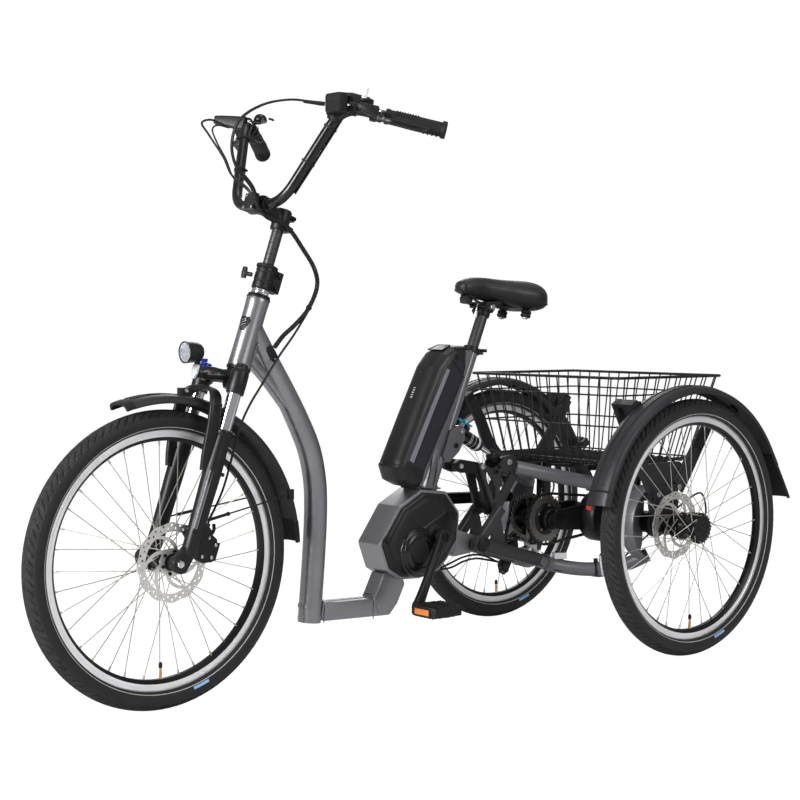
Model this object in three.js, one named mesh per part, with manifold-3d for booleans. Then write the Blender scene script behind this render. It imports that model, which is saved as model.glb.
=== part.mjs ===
// Adult cargo tricycle with electric assist: one sprung fork, two rear wheels on a sprung swingarm.
// Millimetres, +Z up, front towards -Y, rider's left towards +X.
// Everything is laid out from the rear axle (y = 0) with the ground at z = 0; the last lines move the
// whole group along Y so that the origin is at the bottom centre of its box.
import * as THREE from 'three';
import { mergeVertices } from 'three/addons/utils/BufferGeometryUtils.js';
import Module from 'manifold-3d';

const wasm = await Module();
wasm.setup();

// ---- driving dimensions ----
const WHEEL_R = 300;
const TYRE_R = 23.5;
const RIM_OUTER = 259;
const RIM_INNER = 240;
const RIM_HALF = 12;
const SPOKES = 36;
const WHEEL_SEGMENTS = 36;
const WHEELBASE = 1241;
const TRACK_HALF = 326.5;
const AXLE_Z = WHEEL_R;
const FENDER_R = 331;
const FENDER_HALF = 32;
const FENDER_SKIN = 2.5;
const FENDER_END = THREE.MathUtils.degToRad(82);
const FENDER_SHIFT = -7;
const FLAP = { startRad: 1, flare: 160 };
const HEAD_ANGLE = THREE.MathUtils.degToRad(19.2);
const HEAD_Y = -1052;
const HEAD_Z = 678;
const HEAD_LENGTH = 153.7;
const LEG_X = 65;
const LEG_V = -36;
const DOWN_TUBE_R = 24.5;
const CRANK = { y: -552, z: 296.5, length: 168, leanDeg: 32 };
const CHAIN_X = -70;
const CHAINRING_R = 70;
const PIVOT = { y: -410, z: 266 };
const SHOCK_TOP = { y: -448, z: 527 };
const SHOCK_EYE = { y: -302, z: 448 };
const JACK = { y: -150, z: 300 };
const SEAT_FOOT = { y: -530, z: 398 };
const SEAT_TOP = { y: -397, z: 715 };
const SEAT_TUBE_R = 16.6;
const BATTERY_LEAN = THREE.MathUtils.degToRad(26);
const BASKET = { z0: 440, z1: 651, x0: 205, x1: 250, f0: -135, f1: -172, r0: 158, r1: 211, wall: 4 };
const FLAP_R = FENDER_R + FLAP.flare * (FENDER_END - FLAP.startRad) ** 2;
const REAR_REACH = FLAP_R * Math.sin(FENDER_END) + FENDER_SHIFT;
const GAP = 0.4;
const BAR_CORNER = { x: 169, y: -914, z: 1209 };
const BAR_END = { x: 312, y: -768, z: 1160 };
const BAR_CLAMP = { y: -1002.8, z: 1015 };
const BAR_LOW_X = 82;

const tricycle = new THREE.Group();

// ---- finishes ----
const finish = (color, roughness, metalness) => ({ color, roughness, metalness });
const GRAPHITE = finish('#6e6d72', 0.45, 0.6);
const DARK_FRAME = finish('#4b4a4d', 0.5, 0.6);
const BLACK_METAL = finish('#1a1a1b', 0.5, 0.5);
const BLACK_PLASTIC = finish('#222224', 0.65, 0);
const RUBBER = finish('#1c1c1d', 0.9, 0);
const STEEL = finish('#b9babb', 0.3, 1);
const CHROME = finish('#e2e2e4', 0.12, 1);
const GLASS = finish('#e8eef2', 0.05, 0);

// ---- solids ----
function toSolid(geometry) {
  const bare = geometry.clone();
  bare.deleteAttribute('normal');
  bare.deleteAttribute('uv');
  const merged = mergeVertices(bare, 1e-4);
  return new wasm.Manifold(new wasm.Mesh({
    numProp: 3,
    vertProperties: new Float32Array(merged.attributes.position.array),
    triVerts: new Uint32Array(merged.index.array),
  }));
}

function toGeometry(solid) {
  const mesh = solid.getMesh();
  const geometry = new THREE.BufferGeometry();
  geometry.setAttribute('position', new THREE.BufferAttribute(new Float32Array(mesh.vertProperties), 3));
  geometry.setIndex(new THREE.BufferAttribute(new Uint32Array(mesh.triVerts), 1));
  geometry.computeVertexNormals();
  return geometry;
}

const join = (...parts) => toGeometry(parts.map(toSolid).reduce((a, b) => a.add(b)));
const cut = (body, ...tools) => toGeometry(tools.map(toSolid).reduce((a, b) => a.subtract(b), toSolid(body)));

const v3 = (x, y, z) => new THREE.Vector3(x, y, z);

// Carries X, Y, Z of a shape's own frame onto Y, Z, X of the tricycle, so a side profile stands upright.
const SIDE = new THREE.Matrix4().set(0, 0, 1, 0, 1, 0, 0, 0, 0, 1, 0, 0, 0, 0, 0, 1);

// A side profile, a list of [y, z], as a plate between x0 and x1.
function slab(profile, x0, x1) {
  const shape = new THREE.Shape(profile.map(([y, z]) => new THREE.Vector2(y, z)));
  const geometry = new THREE.ExtrudeGeometry(shape, { depth: x1 - x0, bevelEnabled: false });
  return geometry.applyMatrix4(SIDE).translate(x0, 0, 0);
}

function box(x0, x1, y0, y1, z0, z1) {
  const geometry = new THREE.BoxGeometry(x1 - x0, y1 - y0, z1 - z0);
  return geometry.translate((x0 + x1) / 2, (y0 + y1) / 2, (z0 + z1) / 2);
}

// A round bar from a to b, with its own radius at each end.
function rod(a, b, r, sides = 10, r2 = r) {
  const along = b.clone().sub(a);
  const geometry = new THREE.CylinderGeometry(r2, r, along.length(), sides);
  const turn = new THREE.Quaternion().setFromUnitVectors(v3(0, 1, 0), along.clone().normalize());
  const middle = a.clone().add(b).multiplyScalar(0.5);
  return geometry.applyQuaternion(turn).translate(middle.x, middle.y, middle.z);
}

const axle = (x0, x1, y, z, r, sides = 12, r2 = r) => rod(v3(x0, y, z), v3(x1, y, z), r, sides, r2);

// A flat bar between two points of the side view: w wide along X, h deep across its length.
function flatBar(x, w, [y0, z0], [y1, z1], h, h2 = h) {
  const along = new THREE.Vector2(y1 - y0, z1 - z0).normalize();
  const across = new THREE.Vector2(-along.y, along.x);
  const corner = (y, z, k) => [y + across.x * k, z + across.y * k];
  const profile = [corner(y0, z0, -h / 2), corner(y1, z1, -h2 / 2), corner(y1, z1, h2 / 2), corner(y0, z0, h / 2)];
  return slab(profile, x - w / 2, x + w / 2);
}

// A ring or cap turned about the X axis from a closed profile of [radius, x].
function turned(profile, segments, y = 0, z = 0) {
  const outline = [...profile, profile[0]].map(([r, x]) => new THREE.Vector2(r, x));
  const geometry = new THREE.LatheGeometry(outline, segments);
  return geometry.rotateZ(-Math.PI / 2).translate(0, y, z);
}

const ring = (x0, x1, r0, r1, segments, y, z) => turned([[r0, x0], [r1, x0], [r1, x1], [r0, x1]], segments, y, z);

// A sleeve around the line from a to b.
function sleeve(a, b, rIn, rOut, sides = 12) {
  const along = b.clone().sub(a);
  const length = along.length();
  const outline = [[rIn, 0], [rOut, 0], [rOut, length], [rIn, length], [rIn, 0]];
  const geometry = new THREE.LatheGeometry(outline.map(([r, h]) => new THREE.Vector2(r, h)), sides);
  const turn = new THREE.Quaternion().setFromUnitVectors(v3(0, 1, 0), along.normalize());
  return geometry.applyQuaternion(turn).translate(a.x, a.y, a.z);
}

const circle = (r, sides) => {
  const shape = new THREE.Shape();
  for (let i = 0; i < sides; i += 1) {
    const a = (i / sides) * Math.PI * 2;
    shape[i ? 'lineTo' : 'moveTo'](r * Math.cos(a), r * Math.sin(a));
  }
  return shape;
};

// A tube of the given section along a smooth curve through the points.
function sweep(points, section, steps) {
  const path = new THREE.CatmullRomCurve3(points, false, 'centripetal');
  return new THREE.ExtrudeGeometry(section, { steps, extrudePath: path, bevelEnabled: false });
}

// A bent bar: straight runs joined by round corners that start `bend` before each corner.
function bentPath(points, bend) {
  const path = new THREE.CurvePath();
  let from = points[0];
  for (let i = 1; i < points.length - 1; i += 1) {
    const back = points[i - 1].clone().sub(points[i]).normalize().multiplyScalar(bend).add(points[i]);
    const on = points[i + 1].clone().sub(points[i]).normalize().multiplyScalar(bend).add(points[i]);
    path.add(new THREE.LineCurve3(from, back));
    path.add(new THREE.QuadraticBezierCurve3(back, points[i], on));
    from = on;
  }
  path.add(new THREE.LineCurve3(from, points[points.length - 1]));
  return path;
}

function add(name, geometry, look, parent = tricycle) {
  const material = new THREE.MeshStandardMaterial(look);
  const mesh = new THREE.Mesh(geometry, material);
  mesh.name = name;
  parent.add(mesh);
  return mesh;
}

const mirrorX = (geometry) => {
  const solid = toSolid(geometry);
  return toGeometry(solid.scale([-1, 1, 1]));
};

// A point on the axis of the seatpost, s along it from the top of the seat tube.
const seatAlong = v3(0, SEAT_TOP.y - SEAT_FOOT.y, SEAT_TOP.z - SEAT_FOOT.z).normalize();
const onSeatPost = (s) => v3(0, SEAT_TOP.y, SEAT_TOP.z).addScaledVector(seatAlong, s);

// ---- frame ----
function makeMainFrame() {
  const tube = sweep(
    [v3(0, -1016, 756), v3(0, -979, 695), v3(0, -939, 632), v3(0, -901, 567), v3(0, -870, 502), v3(0, -855, 437),
      v3(0, -852, 380), v3(0, -856, 290), v3(0, -869, 132)],
    circle(DOWN_TUBE_R, 12),
    18,
  );
  const headAxis = (w, v = 0) => v3(0, HEAD_Y + w * Math.sin(HEAD_ANGLE) + v * Math.cos(HEAD_ANGLE),
    HEAD_Z + w * Math.cos(HEAD_ANGLE) - v * Math.sin(HEAD_ANGLE));
  const head = rod(headAxis(0), headAxis(HEAD_LENGTH), 24, 20);
  const bore = rod(headAxis(-5), headAxis(HEAD_LENGTH + 5), 17, 16);
  const gusset = slab([[-1037, 678], [-1012, 740], [-940, 640], [-900, 560], [-943, 578]], -14, 14);
  add('main_frame_front', cut(join(tube, head, gusset), bore), GRAPHITE);

  const beam = slab([[-845, 132], [-661, 125], [-618, 188], [-618, 199], [-643, 201], [-677, 220.5], [-706, 167],
    [-810, 170], [-842, 200]], -20, 20);
  const lug = rod(v3(0, -869, 128), v3(0, -856.5, 290), DOWN_TUBE_R + 3, 14);
  add('main_frame_beam', cut(beam, lug), GRAPHITE);

  const shell = [[-583, 402], [-510, 393], [-468, 343], [-473, 279], [-505, 238], [-533, 212], [-587, 203],
    [-643, 205], [-683, 228], [-706, 288], [-648, 368]];
  const tail = slab([[-480, 306], [-425, 288], [-410, 285], [-391, 266], [-410, 247], [-430, 244], [-480, 240]], -28, 28);
  const pivotPin = axle(-62, 62, PIVOT.y, PIVOT.z, 10.5, 14);
  const crankBore = axle(-60, 60, CRANK.y, CRANK.z, 22, 16);
  add('motor_casing', cut(join(slab(shell, -38, 38), tail, pivotPin), crankBore), finish('#77767a', 0.5, 0.5));

  const cover = [[-579, 395], [-514, 387], [-475, 340], [-480, 281], [-510, 242], [-538, 219], [-588, 210],
    [-640, 212], [-677, 233], [-698, 288], [-643, 362]];
  const lid = join(slab(cover, 38 + GAP, 52), axle(50, 62, -590, 262, 50, 20, 44));
  add('motor_cover', cut(lid, axle(30, 70, CRANK.y, CRANK.z, 22, 16)), BLACK_PLASTIC);

  const flank = slab([[-511, 397], [-570, 405], [-572, 425], [-564, 462], [-538, 511], [-504, 569], [-457, 652],
    [-448, 676], [-434, 712], [-398, 712], [-522, 416]], -17, 17);
  const back = rod(onSeatPost(-320), onSeatPost(-2), SEAT_TUBE_R, 18);
  const collar = rod(onSeatPost(-10), onSeatPost(1), 20, 18);
  const seatBore = rod(onSeatPost(-210), onSeatPost(20), 14.3, 16);
  const ear = [[-507, 470], [-482, 530], [-463, 537], [-445, 534], [-440, 509], [-457, 480], [-487, 455]];
  const lugs = [slab(ear, 17, 22), slab(ear, -22, -17), axle(-25, 25, SHOCK_TOP.y, SHOCK_TOP.z, 4, 10)];
  add('seat_tube', cut(join(flank, back, collar, ...lugs), seatBore), GRAPHITE);
}

// ---- fork, stem and bars, in a frame that stands on the steering axis ----
const steering = new THREE.Group();
steering.position.set(0, HEAD_Y, HEAD_Z);
steering.rotation.x = -HEAD_ANGLE;
tricycle.add(steering);

function makeForkUpper() {
  const steerer = rod(v3(0, 0, -30), v3(0, 0, 171), 14, 14);
  const bridge = box(-82, 82, -50, -14, -44, -16);
  const boss = rod(v3(0, 0, -44), v3(0, 0, -3), 22, 16);
  const web = box(-22, 22, -40, 0, -44, -16);
  const cap = rod(v3(0, 0, 154.2), v3(0, 0, 160), 23, 18);
  const spacer = rod(v3(0, 0, 158), v3(0, 0, 171), 18, 18);
  const parts = [steerer, bridge, boss, web, cap, spacer];
  for (const side of [-1, 1]) {
    parts.push(rod(v3(side * LEG_X, LEG_V, -64), v3(side * LEG_X, LEG_V, -12), 18, 14));
    parts.push(rod(v3(side * LEG_X, LEG_V, -250), v3(side * LEG_X, LEG_V, -40), 14, 12));
  }
  const riserWay = rod(v3(0, 0, 30), v3(0, 0, 180), 12.6, 14);
  add('fork_crown', cut(join(...parts), riserWay), BLACK_METAL, steering);

  const barrel = rod(v3(0, 0, 171.5), v3(0, 0, 224), 21, 18);
  const ear = box(-12, 12, 12, 36, 176, 218);
  const slot = box(-1.5, 1.5, 14, 40, 170, 230);
  const riserBore = rod(v3(0, 0, 160), v3(0, 0, 230), 12.6, 14);
  add('stem_clamp', cut(join(barrel, ear), slot, riserBore), BLACK_METAL, steering);

  const lever = join(
    rod(v3(-16.5, -21, 198), v3(-28, -30, 198), 5, 8),
    box(-35, -23, -37, -25, 188, 210),
  );
  add('stem_clamp_lever', lever, BLACK_METAL, steering);

  const arm = slab([[-25, -15.5], [-92, -15.5], [-92, 0], [-60, -4], [-25, -4]], -9, 9);
  const drop = slab([[-84, 0], [-86, -44], [-96, -44], [-98, 0]], -7, 7);
  const lampBack = v3(0, -88, 6);
  const lampFront = v3(0, -134, -10);
  add('headlight', join(arm, drop, rod(lampBack, lampFront, 20, 18, 22)), BLACK_PLASTIC, steering);
  const forward = lampFront.clone().sub(lampBack).normalize();
  const glassBack = lampFront.clone().addScaledVector(forward, GAP);
  add('headlight_lens', rod(glassBack, glassBack.clone().addScaledVector(forward, 3), 19, 18), GLASS, steering);
}

function makeStemRiser() {
  const riser = rod(v3(0, 0, 110), v3(0, 0, 330), 12, 14);
  const socket = rod(v3(0, 1, 303), v3(0, 1, 349), 18, 16);
  const arm = slab([[-52, 318], [-52, 346], [0, 349], [12, 340], [12, 312], [-20, 312]], -14, 14);
  const barClamp = axle(-22, 22, -64.4, 334.4, 19, 16);
  const barBore = axle(-30, 30, -64.4, 334.4, 11.9, 14);
  add('stem_riser', cut(join(riser, socket, arm, barClamp), barBore), BLACK_METAL, steering);
}

function makeForkLowers() {
  const parts = [];
  for (const side of [-1, 1]) {
    const x = side * LEG_X;
    parts.push(rod(v3(x, LEG_V, -392), v3(x, LEG_V, -152), 17, 14, 20));
    parts.push(slab([[-46, -380], [-26, -380], [-32, -430], [-58, -432], [-66, -420], [-58, -400]], x - 6, x + 6));
    parts.push(flatBar(x, 20, [LEG_V - 20, -210], [LEG_V - 33, -66], 16, 12));
  }
  parts.push(box(-LEG_X - 10, LEG_X + 10, LEG_V - 38, LEG_V - 24, -78, -60));
  parts.push(axle(-74, 74, -54.3, -419.1, 4.6, 10));
  const bores = [-1, 1].map((side) => rod(v3(side * LEG_X, LEG_V, -298), v3(side * LEG_X, LEG_V, -140), 14.5, 12));
  add('fork_lowers', cut(join(...parts), ...bores), BLACK_METAL, steering);

  const caliper = join(box(32, 58, -10, 34, -404, -342), box(48, 58, -16, -8, -400, -346));
  const rotorSlot = box(40, 46, -20, 28, -410, -336);
  add('front_caliper', cut(caliper, rotorSlot), BLACK_METAL, steering);
}

// ---- wheels ----
const AXLE_FRONT = { x: 0, y: -WHEELBASE };

// Tyre, rim, spoked hub and brake disc; `out` is the side of the wheel that the hub cap faces.
function makeWheel(name, x, y, hub) {
  const wheel = new THREE.Group();
  wheel.position.set(x, y, AXLE_Z);
  tricycle.add(wheel);
  const centre = WHEEL_R - TYRE_R;
  const tread = [];
  for (let i = 0; i <= 6; i += 1) {
    const a = THREE.MathUtils.degToRad(-126 + (i * 252) / 6);
    tread.push([centre + TYRE_R * Math.cos(a), TYRE_R * Math.sin(a)]);
  }
  add(`${name}_tyre`, turned(tread, WHEEL_SEGMENTS), RUBBER, wheel);

  const rimTop = RIM_OUTER - GAP;
  const rim = turned([[rimTop, -RIM_HALF], [rimTop, RIM_HALF], [RIM_INNER + 6, RIM_HALF], [RIM_INNER, 0],
    [RIM_INNER + 6, -RIM_HALF]], WHEEL_SEGMENTS);
  add(`${name}_rim`, rim, STEEL, wheel);

  const parts = [axle(hub.left, hub.right, 0, 0, hub.barrel, 14), ...hub.shaft];
  for (const flange of hub.flanges) {
    parts.push(axle(flange - 2, flange + 2, 0, 0, hub.flangeR, 16));
  }
  for (let i = 0; i < SPOKES; i += 1) {
    const a = (i / SPOKES) * Math.PI * 2;
    const lean = a + (i % 2 ? 0.9 : -0.9);
    const flange = hub.flanges[i % 2];
    const root = v3(flange, (hub.flangeR - 5) * Math.sin(lean), (hub.flangeR - 5) * Math.cos(lean));
    const tip = v3(0, (RIM_INNER - 3) * Math.sin(a), (RIM_INNER - 3) * Math.cos(a));
    parts.push(rod(root, tip, 1.3, 3));
  }
  add(`${name}_hub`, cut(join(...parts), ...hub.bores), STEEL, wheel);

  const disc = [ring(hub.disc - 1, hub.disc + 1, 64, 80, 24)];
  disc.push(ring(hub.disc - 1, hub.disc + 1, hub.barrel + 2 * GAP, 28, 14));
  for (let i = 0; i < 5; i += 1) {
    const a = (i * 2 * Math.PI) / 5;
    const arm = box(hub.disc - 1, hub.disc + 1, 22, 68, -4, 4);
    disc.push(arm.rotateX(a));
  }
  add(`${name}_rotor`, join(...disc), STEEL, wheel);
}

function makeWheels() {
  makeWheel('front', AXLE_FRONT.x, AXLE_FRONT.y, {
    left: -48, right: 53, barrel: 14, flangeR: 24, flanges: [-30, 26], disc: 43,
    shaft: [], bores: [axle(-60, 60, 0, 0, 5, 10)],
  });
  for (const [name, side] of [['rear_left', 1], ['rear_right', -1]]) {
    makeWheel(name, side * TRACK_HALF, 0, {
      left: side > 0 ? -84 : -38,
      right: side > 0 ? 38 : 84,
      shaft: [axle(side > 0 ? -126 : 30, side > 0 ? -30 : 126, 0, 0, 12, 12)],
      barrel: 16,
      flangeR: 34,
      flanges: [-24 * side, 30 * side],
      disc: -48 * side,
      bores: [],
    });
  }
}

// ---- fenders ----
// Degrees are measured from straight up, positive towards the rear.
function fenderArc(x, y, fromDeg, toDeg, flap = { startRad: 0, flare: 0 }) {
  const section = (r) => [[r - 17, FENDER_HALF], [r - 5, FENDER_HALF - 3], [r, FENDER_HALF - 14], [r, -FENDER_HALF + 14],
    [r - 5, -FENDER_HALF + 3], [r - 17, -FENDER_HALF]];
  const outer = section(FENDER_R).map(([r, w]) => new THREE.Vector2(w, r));
  const inner = section(FENDER_R - FENDER_SKIN).map(([r, w]) => new THREE.Vector2(w * 0.93, r)).reverse();
  const shape = new THREE.Shape([...outer, ...inner]);
  const steps = 16;
  const geometry = new THREE.ExtrudeGeometry(shape, { steps, depth: 1, bevelEnabled: false });
  const at = geometry.attributes.position;
  for (let i = 0; i < at.count; i += 1) {
    const a = THREE.MathUtils.degToRad(fromDeg + (toDeg - fromDeg) * at.getZ(i));
    const r = at.getY(i) + flap.flare * Math.max(0, a - flap.startRad) ** 2;
    at.setXYZ(i, x - at.getX(i), y + r * Math.sin(a), AXLE_Z + r * Math.cos(a));
  }
  return geometry;
}

function makeFenders() {
  add('front_fender', fenderArc(0, -WHEELBASE, -17, 88), BLACK_PLASTIC);
  for (const [name, side] of [['left', 1], ['right', -1]]) {
    add(`rear_fender_${name}`, fenderArc(side * TRACK_HALF, FENDER_SHIFT, -77, 82, FLAP), BLACK_PLASTIC);
  }
}

// ---- handlebar and what is on it ----
const barCorner = v3(BAR_CORNER.x, BAR_CORNER.y, BAR_CORNER.z);
const barEnd = v3(BAR_END.x, BAR_END.y, BAR_END.z);
const barAlong = barEnd.clone().sub(barCorner).normalize();
const barAhead = v3(barAlong.y, -barAlong.x, 0).normalize();
const barUp = barAhead.clone().cross(barAlong).normalize();
const GRIP_FROM = 92;

// A point by the left half of the bar: `along` from its top corner, `ahead` of it and `up` from it.
function byBar(along, ahead = 0, up = 0) {
  const p = barCorner.clone().addScaledVector(barAlong, along);
  return p.addScaledVector(barAhead, ahead).addScaledVector(barUp, up);
}

function barBlock(along, ahead, up, length, depth, height) {
  const geometry = new THREE.BoxGeometry(length, depth, height);
  const turn = new THREE.Matrix4().makeBasis(barAlong, barAhead.clone().negate(), barUp);
  const at = byBar(along, ahead, up);
  return geometry.applyMatrix4(turn).translate(at.x, at.y, at.z);
}

function addBothSides(names, geometry, look) {
  add(names[0], geometry, look);
  add(names[1], mirrorX(geometry), look);
}

function makeHandlebar() {
  const low = v3(BAR_LOW_X, BAR_CLAMP.y, BAR_CLAMP.z);
  const half = [barEnd, barCorner, low];
  const points = [...half, ...half.map((p) => v3(-p.x, p.y, p.z)).reverse()];
  const bar = new THREE.ExtrudeGeometry(circle(11, 8), {
    steps: 42, extrudePath: bentPath(points, 38), bevelEnabled: false,
  });
  add('handlebar', bar, BLACK_METAL);

  const gripLength = barEnd.distanceTo(barCorner) - GRIP_FROM + 4;
  const grip = rod(byBar(GRIP_FROM), byBar(GRIP_FROM + gripLength), 16, 14);
  const inside = rod(byBar(GRIP_FROM - 5), byBar(GRIP_FROM + gripLength - 3.6), 11.8, 14);
  const bell = rod(byBar(GRIP_FROM + gripLength - 8), byBar(GRIP_FROM + gripLength), 18, 14);
  addBothSides(['left_grip', 'right_grip'], cut(join(grip, bell), inside), RUBBER);

  const ringOut = rod(byBar(56), byBar(74), 17, 14);
  const ringIn = rod(byBar(50), byBar(80), 11.8, 14);
  const tank = barBlock(58, 26, 4, 52, 24, 22);
  addBothSides(['left_brake_perch', 'right_brake_perch'], cut(join(ringOut, tank), ringIn), BLACK_METAL);

  const lever = join(
    rod(byBar(80, 30, -10), byBar(104, 44, -12), 6, 8, 5),
    rod(byBar(102, 43, -12), byBar(178, 40, -14), 5, 8, 4),
  );
  addBothSides(['left_brake_lever', 'right_brake_lever'], cut(lever, barBlock(58, 26, 4, 60, 34, 24)), STEEL);

  const screen = box(150, 198, -946, -924, 1193, 1233);
  const clear = rod(byBar(-8), byBar(60), 11.8, 14);
  const legClear = rod(barCorner.clone().lerp(low, -0.1), low, 13.5, 14);
  add('display', cut(screen, clear, legClear), BLACK_PLASTIC);

  const button = rod(byBar(40, 22, 16.5), byBar(40, 22, 22), 7, 10);
  const lock = join(button, rod(byBar(40, 22, 20), byBar(43, 24, 44), 1.6, 6));
  add('parking_lever', lock, STEEL);

  const thumb = join(barBlock(44, -4, -20, 16, 10, 12), barBlock(50, -16, -21, 12, 24, 6));
  add('shift_lever', mirrorX(thumb), BLACK_PLASTIC);

  const bellProfile = [[0, -12], [6, -12], [6, -2], [15, -2], [15, 2], [13, 9], [8, 14], [0, 16]];
  const bellParts = new THREE.LatheGeometry(bellProfile.map(([r, h]) => new THREE.Vector2(r, h)), 14);
  const bellTurn = new THREE.Matrix4().makeBasis(barAlong, barUp, barAhead.clone());
  const bellAt = byBar(16, -28, 12);
  const dome = bellParts.applyMatrix4(bellTurn).translate(bellAt.x, bellAt.y, bellAt.z);
  const bracket = rod(byBar(16, -28, 4), byBar(16, -11.6, 4), 3.5, 8);
  add('bell', mirrorX(join(dome, bracket)), STEEL);
  const knob = rod(byBar(16, -46.6, 12), byBar(16, -54, 11), 3, 8);
  const striker = join(knob, rod(byBar(16, -52, 11), byBar(28, -54, 13), 1.5, 6));
  add('bell_striker', mirrorX(striker), STEEL);
}

// ---- cables: the braided loom, the hoses from both levers and the front brake hose, held all the way ----
function makeCables() {
  const loom = sweep([v3(30, -1030, 1034), v3(32, -1026, 1010), v3(31, -1004, 990), v3(28, -953, 974),
    v3(25, -906, 927), v3(23, -872, 882), v3(22, -866, 850), v3(21, -890, 800), v3(21, -925, 767), v3(22, -955, 745),
    v3(23, -971, 733)], circle(4.6, 6), 20);
  const left = sweep([v3(140, -950, 1214), v3(104, -996, 1221), v3(72, -1046, 1208), v3(46, -1082, 1176),
    v3(36, -1092, 1126), v3(32, -1076, 1082), v3(30, -1038, 1046), v3(32, -1027, 1012)], circle(2.4, 5), 16);
  const right = sweep([v3(-176, -962, 1196), v3(-176, -1000, 1206), v3(-164, -1032, 1196), v3(-132, -1036, 1168),
    v3(-92, -1026, 1118), v3(-40, -1040, 1076), v3(16, -1038, 1044), v3(31, -1028, 1012)], circle(2.4, 5), 16);
  const front = sweep([v3(22, -893, 792), v3(27, -930, 748), v3(34, -975, 702), v3(42, -1024, 645), v3(48, -1058, 605),
    v3(52, -1083, 565), v3(54, -1098, 525), v3(54, -1128, 437), v3(50, -1152, 388), v3(46, -1160, 368)],
  circle(2.4, 5), 18);
  add('cable_loom', join(loom, left, right, front), RUBBER);
}

// ---- cranks, pedals, chains ----
const CRANK_TIP = {
  y: -CRANK.length * Math.sin(THREE.MathUtils.degToRad(CRANK.leanDeg)),
  z: -CRANK.length * Math.cos(THREE.MathUtils.degToRad(CRANK.leanDeg)),
};

function crankArm(side, xRoot, xTip) {
  const tipY = CRANK.y + side * CRANK_TIP.y;
  const tipZ = CRANK.z + side * CRANK_TIP.z;
  const bar = join(
    flatBar(0, 15, [CRANK.y, CRANK.z], [tipY, tipZ], 34, 24),
    axle(-7.5, 7.5, CRANK.y, CRANK.z, 19, 16),
    axle(-7.5, 7.5, tipY, tipZ, 13, 14),
  );
  const at = bar.attributes.position;
  for (let i = 0; i < at.count; i += 1) {
    const along = ((at.getY(i) - CRANK.y) * CRANK_TIP.y + (at.getZ(i) - CRANK.z) * CRANK_TIP.z) * side;
    const share = THREE.MathUtils.clamp(along / CRANK.length ** 2, 0, 1);
    at.setX(i, at.getX(i) + xRoot + (xTip - xRoot) * share);
  }
  return bar;
}

function makePedal(name, side) {
  const pedal = new THREE.Group();
  pedal.position.set(side * 155, CRANK.y + side * CRANK_TIP.y, CRANK.z + side * CRANK_TIP.z);
  tricycle.add(pedal);
  const shell = box(-40, 40, -40, 40, -13, 13);
  const windows = [box(-31, 31, 13, 33, -20, 20), box(-31, 31, -33, -13, -20, 20)];
  const pin = axle(side > 0 ? -49 : 30, side > 0 ? -30 : 49, 0, 0, 6, 10);
  add(name, join(cut(shell, ...windows), pin), BLACK_PLASTIC, pedal);
}

// The outline of a belt pulled tight around circles of [y, z, radius], given in order round the outside.
function beltOutline(circles, grow, stepDeg = 20) {
  const outline = [];
  const count = circles.length;
  const normals = circles.map(([y0, z0, r0], i) => {
    const [y1, z1, r1] = circles[(i + 1) % count];
    const base = Math.atan2(z1 - z0, y1 - y0);
    const reach = Math.hypot(y1 - y0, z1 - z0);
    return base - Math.acos((r0 - r1) / reach);
  });
  circles.forEach(([y, z, r], i) => {
    const from = normals[(i + count - 1) % count];
    let turn = normals[i] - from;
    while (turn < 0) turn += Math.PI * 2;
    const steps = Math.max(1, Math.ceil(THREE.MathUtils.radToDeg(turn) / stepDeg));
    for (let k = 0; k <= steps; k += 1) {
      const a = from + (turn * k) / steps;
      outline.push([y + (r + grow) * Math.cos(a), z + (r + grow) * Math.sin(a)]);
    }
  });
  return outline;
}

function chainLoop(circles, x0, x1) {
  return cut(slab(beltOutline(circles, 4), x0, x1), slab(beltOutline(circles, -3.5), x0 - 5, x1 + 5));
}

function makeDrive() {
  const spindle = axle(-86, 74, CRANK.y, CRANK.z, 10, 12);
  add('crankset', join(spindle, crankArm(1, 74, 96), crankArm(-1, -86, -98)), BLACK_METAL);
  add('chainring', ring(-71.5, -68.5, 10.4, CHAINRING_R - 7, 28, CRANK.y, CRANK.z), STEEL);
  makePedal('pedal_left', 1);
  makePedal('pedal_right', -1);
  const tension = [-222, 180, 14];
  add('drive_chain', chainLoop([[CRANK.y, CRANK.z, CHAINRING_R], tension, [JACK.y, JACK.z, 52]], -73, -67), BLACK_METAL);
  add('axle_chain', chainLoop([[JACK.y, JACK.z, 64], [0, AXLE_Z, 48]], -1, 5), BLACK_METAL);

  const cassette = turned([[8, -100], [24, -96], [24, -90], [32, -90], [32, -83], [40, -83], [40, -76], [46, -76],
    [46, -65.5], [57, -65.5], [57, -60], [8, -54]], 16, JACK.y, JACK.z);
  const shaft = axle(-100, 44, JACK.y, JACK.z, 9, 12);
  const sprocket = ring(0.5, 3.5, 5, 58.5, 20, JACK.y, JACK.z);
  add('jackshaft', join(cassette, shaft, sprocket), STEEL);

  const guard = flatBar(CHAIN_X, 26, [-445, 362.5], [-215, 354.2], 26);
  const way = flatBar(CHAIN_X, 18, [-460, 363], [-200, 353.7], 19);
  add('chain_guard', cut(guard, way), BLACK_PLASTIC);

  const mech = join(
    axle(-82, -67, -222, 180, 9, 12),
    axle(-82, -67, -190, 226, 12, 12),
    flatBar(-80.5, 5, [-222, 180], [-190, 226], 22),
    slab([[-200, 220], [-182, 218], [-166, 236], [-180, 248]], -83, -78),
    axle(-83, -48.4, -176, 238, 4, 10),
  );
  add('derailleur', mech, BLACK_METAL);
}

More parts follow.
